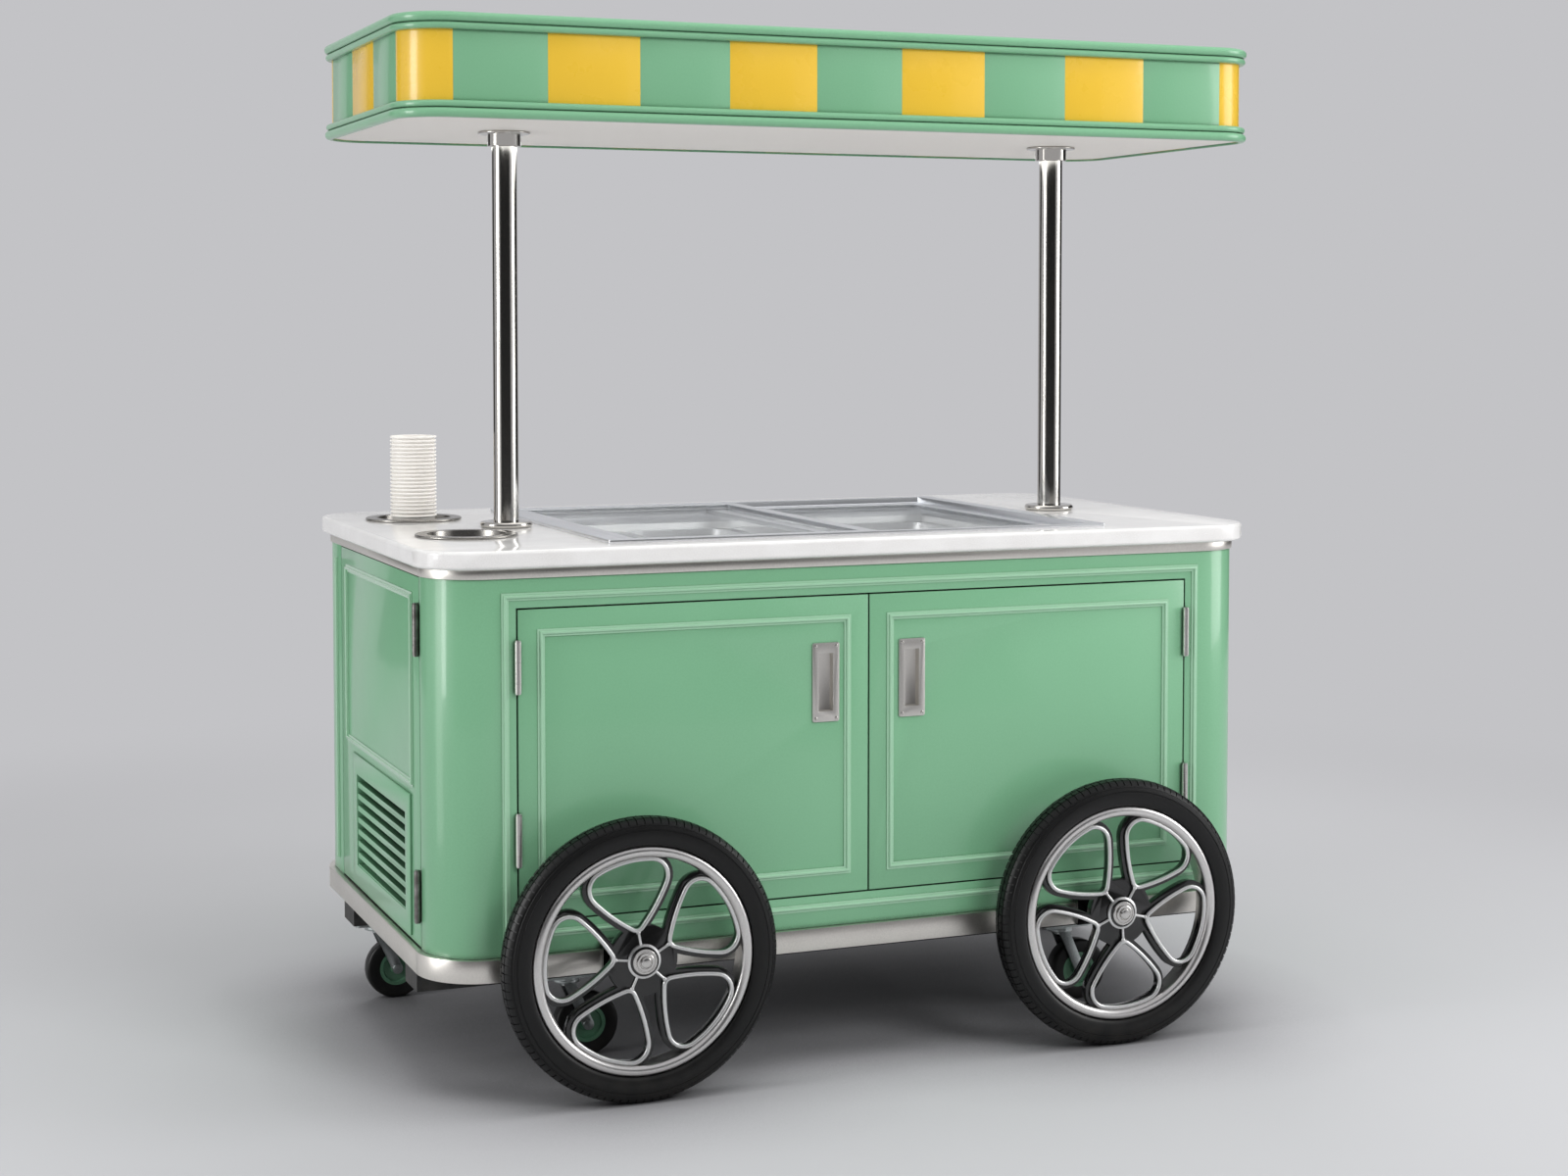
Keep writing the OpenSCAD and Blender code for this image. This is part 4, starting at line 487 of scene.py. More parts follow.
class PatternLibrary:
    """Geometry Nodes trees for what repeats or follows a path."""

    def __init__(self) -> None:
        """Builds every tree."""
        self.array = self._array()
        self.grid = self._grid()
        self.bar = self._bar()

    @staticmethod
    def _start(name: str, inputs: Sequence[tuple]) -> tuple:
        """Makes a tree with a geometry in and out.

        Args:
            name: The tree's name.
            inputs: Name and socket type of each further input.

        Returns:
            The tree, its wiring, its input node and its output node.
        """
        tree = bpy.data.node_groups.new(name, "GeometryNodeTree")
        tree.interface.new_socket("Geometry", in_out="INPUT", socket_type="NodeSocketGeometry")
        for label, kind in inputs:
            tree.interface.new_socket(label, in_out="INPUT", socket_type=kind)
        tree.interface.new_socket("Geometry", in_out="OUTPUT", socket_type="NodeSocketGeometry")
        wiring = Wiring(tree)
        return tree, wiring, wiring.add("NodeGroupInput"), wiring.add("NodeGroupOutput")

    @staticmethod
    def _end(w: Wiring, geometry: bpy.types.NodeSocket, inside: bpy.types.Node, out: bpy.types.Node) -> None:
        """Ends a tree in Realize Instances and Set Material.

        Args:
            w: The tree's wiring.
            geometry: What the tree has made.
            inside: The tree's input node.
            out: The tree's output node.
        """
        real = w.add("GeometryNodeRealizeInstances", {"Geometry": geometry})
        dressed = w.add("GeometryNodeSetMaterial", {"Geometry": real.outputs[0],
                                                    "Material": inside.outputs["Material"]})
        w.tree.links.new(dressed.outputs[0], out.inputs["Geometry"])

    def _array(self) -> bpy.types.NodeTree:
        """Makes a tree that repeats a piece by a step and a turn about Z.

        Returns:
            The tree.
        """
        tree, w, inside, out = self._start("row_or_ring", [
            ("Piece", "NodeSocketObject"), ("Count", "NodeSocketInt"), ("Step", "NodeSocketVector"),
            ("Turn", "NodeSocketFloat"), ("Material", "NodeSocketMaterial")])
        line = w.add("GeometryNodeMeshLine", {
            "Count": inside.outputs["Count"], "Offset": inside.outputs["Step"]}, mode="OFFSET")
        index = w.add("GeometryNodeInputIndex").outputs[0]
        turned = w.math("MULTIPLY", index, inside.outputs["Turn"])
        turn = w.add("ShaderNodeCombineXYZ", {"Z": turned})
        piece = w.add("GeometryNodeObjectInfo", {"Object": inside.outputs["Piece"]})
        copies = w.add("GeometryNodeInstanceOnPoints", {
            "Points": line.outputs[0], "Instance": piece.outputs["Geometry"], "Rotation": turn.outputs[0]})
        self._end(w, copies.outputs[0], inside, out)
        return tree

    def _grid(self) -> bpy.types.NodeTree:
        """Makes a tree that repeats a piece on a flat grid.

        Returns:
            The tree.
        """
        tree, w, inside, out = self._start("grid_of_pieces", [
            ("Piece", "NodeSocketObject"), ("Columns", "NodeSocketInt"), ("Rows", "NodeSocketInt"),
            ("Length", "NodeSocketFloat"), ("Width", "NodeSocketFloat"), ("Material", "NodeSocketMaterial")])
        grid = w.add("GeometryNodeMeshGrid", {
            "Size X": inside.outputs["Length"], "Size Y": inside.outputs["Width"],
            "Vertices X": inside.outputs["Columns"], "Vertices Y": inside.outputs["Rows"]})
        piece = w.add("GeometryNodeObjectInfo", {"Object": inside.outputs["Piece"]})
        copies = w.add("GeometryNodeInstanceOnPoints", {"Points": grid.outputs[0],
                                                        "Instance": piece.outputs["Geometry"]})
        self._end(w, copies.outputs[0], inside, out)
        return tree

    def _bar(self) -> bpy.types.NodeTree:
        """Makes a tree that runs a round bar along the edges of a path.

        Returns:
            The tree.
        """
        tree, w, inside, out = self._start("round_bar", [
            ("Radius", "NodeSocketFloat"), ("Sides", "NodeSocketInt"), ("Material", "NodeSocketMaterial")])
        path = w.add("GeometryNodeMeshToCurve", {"Mesh": inside.outputs["Geometry"]})
        section = w.add("GeometryNodeCurvePrimitiveCircle", {
            "Resolution": inside.outputs["Sides"], "Radius": inside.outputs["Radius"]}, mode="RADIUS")
        bar = w.add("GeometryNodeCurveToMesh", {"Curve": path.outputs[0], "Profile Curve": section.outputs[0],
                                                "Fill Caps": True})
        self._end(w, bar.outputs[0], inside, out)
        return tree


class Bench:
    """Makes finished pieces and hands them to the frame."""

    def __init__(self) -> None:
        """Builds the shared effects and patterns."""
        self.effects = EffectLibrary()
        self.patterns = PatternLibrary()
        self.materials: dict[Finish, bpy.types.Material] = {}

    def finish(self, finish: Finish) -> bpy.types.Material:
        """Finds a finish's material, and makes it when it is first asked for.

        Args:
            finish: The finish.

        Returns:
            Its material.
        """
        if finish not in self.materials:
            self.materials[finish] = finish.material(self.effects)
        return self.materials[finish]

    @staticmethod
    def solid(name: str, verts: Sequence, faces: Sequence, edges: Sequence = ()) -> bpy.types.Object:
        """Makes an object of a mesh at the origin.

        Args:
            name: The object's name.
            verts: Its points.
            faces: Its faces, as lists of point numbers.
            edges: Loose edges, for a path.

        Returns:
            The new object.
        """
        mesh = bpy.data.meshes.new(name)
        mesh.from_pydata([tuple(v) for v in verts], list(edges), list(faces))
        mesh.update()
        obj = bpy.data.objects.new(name, mesh)
        bpy.context.scene.collection.objects.link(obj)
        return obj

    @staticmethod
    def smooth(obj: bpy.types.Object, crease_deg: float = CREASE_DEG) -> None:
        """Shades an object smooth, with creases where its faces meet sharply."""
        obj.data.shade_smooth()
        obj.data.set_sharp_from_angle(angle=math.radians(crease_deg))

    @staticmethod
    def outward(obj: bpy.types.Object) -> None:
        """Merges an object's doubled points and turns its faces outwards.

        Args:
            obj: The object.
        """
        bm = bmesh.new()
        bm.from_mesh(obj.data)
        bmesh.ops.remove_doubles(bm, verts=bm.verts, dist=MERGE)
        bmesh.ops.recalc_face_normals(bm, faces=bm.faces)
        bm.to_mesh(obj.data)
        bm.free()

    def turned(self, name: str, profile: Sequence[Point], segments: int,
               sweep_deg: float = 360.0) -> bpy.types.Object:
        """Turns a closed profile about Z.

        Args:
            name: The object's name.
            profile: Radius and height of each corner, in order round the section.
            segments: Steps round the axis.
            sweep_deg: How far the section is turned.

        Returns:
            The turned piece, about the Z axis.
        """
        whole = sweep_deg >= 360
        steps = segments if whole else segments + 1
        n = len(profile)
        verts = [(r * math.cos(a), r * math.sin(a), z)
                 for a in (math.radians(sweep_deg) * i / segments for i in range(steps)) for r, z in profile]
        faces = []
        for i in range(segments):
            here, there = i * n, (i + 1) % steps * n
            faces += [(here + j, there + j, there + (j + 1) % n, here + (j + 1) % n) for j in range(n)]
        if not whole:
            faces += [tuple(range(n)), tuple(reversed(range(segments * n, steps * n)))]
        obj = self.solid(name, verts, faces)
        self.outward(obj)
        return obj

    def eased_copy(self, node: str, name: str, ease_mm: float = 0.0,
                   crease_deg: float = CREASE_DEG) -> bpy.types.Object:
        """Copies a CAD node as a merged mesh with eased edges, which stands for the node.

        Args:
            node: The CAD node.
            name: The new piece's name.
            ease_mm: Width of the eased edges, 0 for none.
            crease_deg: The angle from which an edge counts as sharp.

        Returns:
            The new piece.
        """
        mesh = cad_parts[node].data.copy()
        mesh.materials.clear()
        bm = bmesh.new()
        bm.from_mesh(mesh)
        bmesh.ops.remove_doubles(bm, verts=bm.verts, dist=CAD_MERGE)
        bmesh.ops.dissolve_limit(bm, angle_limit=math.radians(FLAT_DEG), verts=bm.verts, edges=bm.edges)
        if ease_mm:
            sharp = [e for e in bm.edges if e.is_manifold and e.calc_face_angle() > math.radians(crease_deg)]
            bmesh.ops.bevel(bm, geom=sharp, offset=ease_mm * MM, offset_type="OFFSET",
                            segments=EASE_STEPS, profile=0.5, affect="EDGES", clamp_overlap=True)
        bm.to_mesh(mesh)
        bm.free()
        if "custom_normal" in mesh.attributes:
            mesh.attributes.remove(mesh.attributes["custom_normal"])
        obj = bpy.data.objects.new(name, mesh)
        bpy.context.scene.collection.objects.link(obj)
        self.smooth(obj, crease_deg)
        return obj

    @staticmethod
    def pattern(name: str, tree: bpy.types.NodeTree, values: dict,
                path: Optional[bpy.types.Object] = None) -> bpy.types.Object:
        """Runs a Geometry Nodes tree and keeps its result as a plain mesh.

        Args:
            name: The new object's name.
            tree: The tree.
            values: The tree's inputs by name.
            path: An object whose mesh the tree starts from.

        Returns:
            The new object, with no modifier.
        """
        host = path or Bench.solid(name, [], [])
        host.name = name
        modifier = host.modifiers.new(tree.name, "NODES")
        modifier.node_group = tree
        for item in tree.interface.items_tree:
            if item.in_out == "INPUT" and item.name in values:
                modifier[item.identifier] = values[item.name]
        bpy.context.view_layer.update()
        graph = bpy.context.evaluated_depsgraph_get()
        mesh = bpy.data.meshes.new_from_object(host.evaluated_get(graph), depsgraph=graph)
        host.modifiers.clear()
        host.data = mesh
        return host

    @staticmethod
    def moved(obj: bpy.types.Object, place: Matrix) -> bpy.types.Object:
        """Moves an object's mesh, and leaves the object at the origin.

        Args:
            obj: The object.
            place: Where its mesh goes.

        Returns:
            The same object.
        """
        obj.data.transform(place)
        obj.data.update()
        return obj

    @staticmethod
    def joined(name: str, pieces: Sequence[bpy.types.Object]) -> bpy.types.Object:
        """Joins pieces into one object, each with its own materials.

        Args:
            name: The new object's name.
            pieces: The pieces, which are used up.

        Returns:
            The joined object.
        """
        with bpy.context.temp_override(active_object=pieces[0], selected_editable_objects=list(pieces)):
            bpy.ops.object.join()
        pieces[0].name = name
        return pieces[0]

    @staticmethod
    def scrap(obj: bpy.types.Object) -> None:
        """Removes a template that has done its work."""
        bpy.data.objects.remove(obj)

    def hand_over(self, obj: bpy.types.Object, body: str, nodes: Sequence[str] = (),
                  finish: Optional[Finish] = None) -> bpy.types.Object:
        """Gives a piece its finish and its place on the frame.

        Args:
            obj: The piece.
            body: The CAD body that it rides on.
            nodes: The CAD nodes that it stands for.
            finish: Its finish, if it has none yet.

        Returns:
            The piece.
        """
        if finish:
            obj.data.materials.clear()
            obj.data.materials.append(self.finish(finish))
        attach(obj, body)
        if nodes:
            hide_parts(*nodes)
        LOG.info("%s rides on %s", obj.name, body)
        return obj

    def dressed(self, node: str, body: str, finish: Finish, ease_mm: float = 0.0,
                crease_deg: float = CREASE_DEG) -> bpy.types.Object:
        """Makes an eased copy of a node, dresses it and lets it stand for the node."""
        shown = self.eased_copy(node, "shown_" + node, ease_mm, crease_deg)
        return self.hand_over(shown, body, [node], finish)

    def two_toned(self, node: str, body: str, finishes: tuple[Finish, Finish],
                  second: Callable[[bpy.types.MeshPolygon], bool], ease_mm: float = 0.0) -> bpy.types.Object:
        """Makes an eased copy of a node in two finishes and lets it stand for the node.

        Args:
            node: The CAD node.
            body: The CAD body that it rides on.
            finishes: The two finishes.
            second: Tells which faces get the second finish.
            ease_mm: Width of the eased edges.

        Returns:
            The new piece.
        """
        shown = self.eased_copy(node, "shown_" + node, ease_mm)
        for finish in finishes:
            shown.data.materials.append(self.finish(finish))
        for face in shown.data.polygons:
            face.material_index = int(second(face))
        return self.hand_over(shown, body, [node])

    def coated(self, node: str, finish: Finish) -> None:
        """Gives a finish to a CAD node that is shown as it is.

        Args:
            node: The CAD node.
            finish: Its finish.
        """
        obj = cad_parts[node]
        obj.data.materials.clear()
        obj.data.materials.append(self.finish(finish))
        LOG.info("%s coated with %s", node, finish.name)


def arc(centre: Point, radius: float, start_deg: float, sweep_deg: float, steps: int) -> list[Point]:
    """Points along an arc, both ends included.

    Args:
        centre: The arc's centre.
        radius: Its radius.
        start_deg: The angle of its first point.
        sweep_deg: How far it turns.
        steps: The number of stretches.

    Returns:
        The points, in order.
    """
    angles = [math.radians(start_deg + sweep_deg * i / steps) for i in range(steps + 1)]
    return [(centre[0] + radius * math.cos(a), centre[1] + radius * math.sin(a)) for a in angles]


def rounded_outline(length: float, width: float, radius: float, steps: int) -> list[Point]:
    """Outline of a rectangle with round corners, counter-clockwise.

    Args:
        length: Its size along X.
        width: Its size along Y.
        radius: The corners' radius.
        steps: Stretches in each corner.

    Returns:
        The outline's points.
    """
    x, y = length / 2 - radius, width / 2 - radius
    corners = [((x, y), 0), ((-x, y), 90), ((-x, -y), 180), ((x, -y), 270)]
    return [p for centre, start in corners for p in arc(centre, radius, start, 90, steps)]


def centre_of(node: str) -> Vector:
    """Middle of a CAD node's box."""
    low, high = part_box(node)
    return (low + high) / 2


def slotted_head(bench: Bench, radius: float, height: float) -> bpy.types.Object:
    """Makes a domed screw head with a driver slot, standing on z = 0.

    Args:
        bench: The bench.
        radius: The head's radius.
        height: Its height.

    Returns:
        The head.
    """
    slot_half = 0.16 * radius
    slot_floor = 0.35
    rows = [(1.0, 0.0), (1.0, 0.45), (0.8, 0.85), (0.45, 1.0)]
    steps = 20
    verts = []
    for share, rise in rows:
        verts += [(radius * share * math.cos(a), radius * share * math.sin(a), height * rise)
                  for a in (2 * math.pi * i / steps for i in range(steps))]
    verts = [(x, y, z * slot_floor if abs(y) < slot_half and z > 0 else z) for x, y, z in verts]
    verts += [(0, 0, 0), (0, 0, height * slot_floor)]
    faces = [(r * steps + i, r * steps + (i + 1) % steps,
              (r + 1) * steps + (i + 1) % steps, (r + 1) * steps + i)
             for r in range(len(rows) - 1) for i in range(steps)]
    top, bottom = len(verts) - 1, len(verts) - 2
    last = (len(rows) - 1) * steps
    faces += [(last + i, last + (i + 1) % steps, top) for i in range(steps)]
    faces += [((i + 1) % steps, i, bottom) for i in range(steps)]
    head = bench.solid("screw_head", verts, faces)
    bench.outward(head)
    return head


@dataclass
class Cabinet:
    """Cabinet walls, bands and the parts below them."""

    wall_ease_mm: float = 0.8
    band_ease_mm: float = 0.8
    hinge_reach: float = 50.0 * MM

    def dress(self, bench: Bench) -> None:
        """Dresses the fixed parts of the cabinet.

        Args:
            bench: The bench that makes the pieces.
        """
        bench.dressed("cabinet_shell", ROOT, MINT, self.wall_ease_mm)
        bench.dressed("panel_mouldings", ROOT, MINT_BEAD_PAINTED_HIGHLIGHT)
        for node in ("skirt_band", "counter_trim"):
            bench.dressed(node, ROOT, BRUSHED, self.band_ease_mm)
        bench.dressed("countertop", ROOT, STONE)
        # The hinge leaves beside the service door are dark steel, painted shade for the dark slot at its seam
        service_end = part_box("service_door")[1].x + self.hinge_reach
        bench.two_toned("hinge_leaves", ROOT, (HINGE_STEEL, SLOT_SHADE_STEEL),
                        lambda face: face.center.x < service_end)
        coats = {"inner_panels": LINER, "chassis_frame": FRAME_BLACK, "stub_axles": ENAMEL,
                 "condenser": COIL, "compressor": CAN_BLACK, "condenser_fan": DARK_PLASTIC}
        for node, finish in coats.items():
            bench.coated(node, finish)


@dataclass
class FrontDoor:
    """A front door with its moulding, hinges and flush pull."""

    side: str
    slab_ease_mm: float = 1.0
    pull_ease_mm: float = 0.7
    screw_r: float = 3.2 * MM
    screw_h: float = 1.1 * MM
    screw_in: float = 6.5 * MM

    def dress(self, bench: Bench) -> None:
        """Dresses the door and screws its pull on.

        Args:
            bench: The bench that makes the pieces.
        """
        body = f"{self.side}_door"
        node = f"door_{self.side}"
        bench.dressed(node, body, MINT, self.slab_ease_mm)
        bench.dressed(f"{node}_moulding", body, MINT_BEAD_PAINTED_HIGHLIGHT)
        bench.dressed(f"{node}_hinges", body, HINGE_STEEL)
        bench.dressed(f"{node}_pull", body, SATIN_STEEL, self.pull_ease_mm)
        bench.hand_over(self._screws(bench), body)

    def _screws(self, bench: Bench) -> bpy.types.Object:
        """Makes the four screws at the pull's corners.

        Args:
            bench: The bench that makes the pieces.

        Returns:
            The screws, as one piece.
        """
        low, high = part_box(f"door_{self.side}_pull")
        head = slotted_head(bench, self.screw_r, self.screw_h)
        screws = bench.pattern(f"pull_screws_{self.side}", bench.patterns.grid, {
            "Piece": head, "Columns": 2, "Rows": 2, "Length": high.x - low.x - 2 * self.screw_in,
            "Width": high.z - low.z - 2 * self.screw_in, "Material": bench.finish(POLISHED)})
        bench.scrap(head)
        bench.smooth(screws)
        middle = Vector(((low.x + high.x) / 2, low.y, (low.z + high.z) / 2))
        return bench.moved(screws, Matrix.Translation(middle) @ Matrix.Rotation(math.pi / 2, 4, "X"))


@dataclass
class ServiceDoor:
    """The louvred door at the left end."""

    slab_ease_mm: float = 1.0
    blade_ease_mm: float = 0.6
    body: str = "service_door"

    def dress(self, bench: Bench) -> None:
        """Dresses the door, its moulding, its grille and its hinges.

        Args:
            bench: The bench that makes the pieces.
        """
        bench.dressed("service_door", self.body, MINT, self.slab_ease_mm)
        bench.dressed("service_door_moulding", self.body, MINT_BEAD_PAINTED_HIGHLIGHT)
        bench.dressed("service_door_grille", self.body, MINT, self.blade_ease_mm)
        # Its hinges are dark steel, painted shade for the dark slot at the seam
        bench.dressed("service_door_hinges", self.body, SLOT_SHADE_STEEL)


@dataclass
class Display:
    """Lid track, sliding lids, pans and the cold well."""

    frame_ease_mm: float = 0.7
    pan_columns: int = 4
    pan_rows: int = 2
    pan_gap: float = 4.0 * MM
    lip: float = 9.0 * MM
    corner_r: float = 46.0 * MM
    wall: float = 1.6 * MM
    taper: float = 6.0 * MM
    floor_r: float = 24.0 * MM
    least_r: float = 4.0 * MM
    corner_steps: int = 7
    floor_steps: int = 6
    crease_deg: float = 50.0

    def dress(self, bench: Bench) -> None:
        """Dresses the track and lids, and sets the pressed pans in the rack.

        Args:
            bench: The bench that makes the pieces.
        """
        bench.dressed("lid_track", ROOT, ALUMINIUM, self.frame_ease_mm)
        bench.coated("cold_well", LINER)
        bench.coated("pan_rack", SATIN_STEEL)
        for side in ("left", "right"):
            bench.dressed(f"lid_{side}_frame", f"{side}_lid", ALUMINIUM, self.frame_ease_mm)
            bench.coated(f"lid_{side}_glass", GLASS)
            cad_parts[f"lid_{side}_glass"].visible_shadow = False
        bench.hand_over(self._pans(bench), ROOT, ["gelato_pans"])

    def _pans(self, bench: Bench) -> bpy.types.Object:
        """Repeats one pressed pan on the rack's grid.

        Args:
            bench: The bench that makes the pieces.

        Returns:
            All the pans, as one piece.
        """
        low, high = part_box("gelato_pans")
        pitch_x = (high.x - low.x + self.pan_gap) / self.pan_columns
        pitch_y = (high.y - low.y + self.pan_gap) / self.pan_rows
        pan = self._pan(bench, pitch_x - self.pan_gap, pitch_y - self.pan_gap, high.z - low.z)
        pans = bench.pattern("pressed_pans", bench.patterns.grid, {
            "Piece": pan, "Columns": self.pan_columns, "Rows": self.pan_rows,
            "Length": pitch_x * (self.pan_columns - 1), "Width": pitch_y * (self.pan_rows - 1),
            "Material": bench.finish(PAN_STEEL)})
        bench.scrap(pan)
        bench.smooth(pans, self.crease_deg)
        return bench.moved(pans, Matrix.Translation(((low.x + high.x) / 2, (low.y + high.y) / 2, low.z)))

    def _pan(self, bench: Bench, length: float, width: float, depth: float) -> bpy.types.Object:
        """Makes one pan: a rolled rim, tapered walls and a dished floor.

        Args:
            bench: The bench that makes the pieces.
            length: Its size over the rim along X.
            width: Its size over the rim along Y.
            depth: Its height.

        Returns:
            The pan, standing on z = 0.
        """
        fillet = [(self.lip + self.taper + self.floor_r * (1 - math.cos(a)), self.floor_r * (1 - math.sin(a)))
                  for a in (math.pi / 2 * i / self.floor_steps for i in range(1, self.floor_steps + 1))]
        rim_r, curl, skin = self.wall, 0.3 * self.wall, 0.6 * self.wall
        outer = [(curl, depth - 2 * rim_r + curl), (0.0, depth - rim_r), (curl, depth - curl),
                 (rim_r, depth), (self.lip - 2 * rim_r, depth), (self.lip, depth - rim_r)]
        inside = [(i, z + self.wall) for i, z in fillet]
        below = [(i - skin, z) for i, z in reversed(fillet)]
        below += [(self.lip - rim_r, depth - 2 * rim_r)]
        rings = outer + inside + below
        turn = len(outer) + len(inside)
        verts, n = [], 0
        for inset, z in rings:
            radius = max(self.corner_r + self.lip - inset, self.least_r)
            ring = rounded_outline(length - 2 * inset, width - 2 * inset, radius, self.corner_steps)
            n = len(ring)
            verts += [(x, y, z) for x, y in ring]
        faces = []
        for r in range(len(rings)):
            here, there = r * n, (r + 1) % len(rings) * n
            if r == turn - 1:
                faces += [tuple(range(here, here + n)), tuple(range(there, there + n))]
                continue
            faces += [(here + i, here + (i + 1) % n, there + (i + 1) % n, there + i) for i in range(n)]
        pan = bench.solid("pan", verts, faces)
        bench.outward(pan)
        return pan


@dataclass
class CupStation:
    """Two cup wells in the counter and the stack of paper cups."""

    well_ease_mm: float = 0.6
    segments: int = 72
    cups: int = 22
    cup_h: float = 95.0 * MM
    base_r: float = 33.0 * MM
    roll_r: float = 2.3 * MM
    skin: float = 0.7 * MM
    foot_h: float = 6.0 * MM
    roll_deg: float = -300.0
    roll_steps: int = 10
    crease_deg: float = 50.0

    @property
    def rim_r(self) -> float:
        """The cups' radius over the rolled rim."""
        low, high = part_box("paper_cups")
        return (high.x - low.x) / 2

    def dress(self, bench: Bench) -> None:
        """Dresses the wells and stacks the cups."""
        bench.dressed("cup_wells", ROOT, WELL_STEEL, self.well_ease_mm)
        bench.hand_over(self._stack(bench), "cup_stack", ["paper_cups"])

    def _stack(self, bench: Bench) -> bpy.types.Object:
        """Repeats one turned cup upwards.

        Args:
            bench: The bench that makes the pieces.

        Returns:
            The nested cups, as one piece.
        """
        low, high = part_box("paper_cups")
        pitch = (high.z - low.z - self.cup_h) / (self.cups - 1)
        cup = self._cup(bench)
        stack = bench.pattern("nested_cups", bench.patterns.array, {
            "Piece": cup, "Count": self.cups, "Step": (0, 0, pitch), "Turn": 0.0,
            "Material": bench.finish(PAPER)})
        bench.scrap(cup)
        bench.smooth(stack, self.crease_deg)
        return bench.moved(stack, Matrix.Translation(((low.x + high.x) / 2, (low.y + high.y) / 2, low.z)))

    def _cup(self, bench: Bench) -> bpy.types.Object:
        """Makes one cup: a tapered wall with a rolled rim and a raised base.

        Args:
            bench: The bench that makes the pieces.

        Returns:
            The cup, standing on z = 0.
        """
        neck = self.rim_r - 2 * self.roll_r
        centre = (self.rim_r - self.roll_r, self.cup_h - self.roll_r)
        roll = arc(centre, self.roll_r, 180, self.roll_deg, self.roll_steps)
        outside = [(self.base_r - self.skin, 0), (self.base_r, 0),
                   (neck + self.skin, self.cup_h - 2 * self.roll_r)]
        inside = [(self.base_r - self.skin, self.foot_h), (POLE_R, self.foot_h),
                  (POLE_R, self.foot_h - self.skin), (self.base_r - self.skin, self.foot_h - self.skin)]
        lip = list(reversed(roll)) + [(neck, self.cup_h - 2 * self.roll_r)]
        return bench.turned("cup", outside + lip + inside, self.segments)


@dataclass
class Canopy:
    """Striped canopy on two polished posts."""

    panel_ease_mm: float = 0.3
    fitting_ease_mm: float = 0.8
    upward: float = 0.3

    def dress(self, bench: Bench) -> None:
        """Dresses the canopy's shell and its posts.

        Args:
            bench: The bench that makes the pieces.
        """
        bench.dressed("canopy_fascia", ROOT, MINT, self.panel_ease_mm)
        bench.two_toned("canopy_panels", ROOT, (YELLOW, MINT), lambda face: face.normal.z > self.upward,
                        self.panel_ease_mm)
        bench.dressed("canopy_rails", ROOT, MINT)
        bench.dressed("canopy_roof", ROOT, MINT, self.panel_ease_mm)
        bench.dressed("canopy_soffit", ROOT, SOFFIT)
        bench.dressed("canopy_posts", ROOT, POLISHED)
        bench.dressed("post_fittings", ROOT, POLISHED, self.fitting_ease_mm)


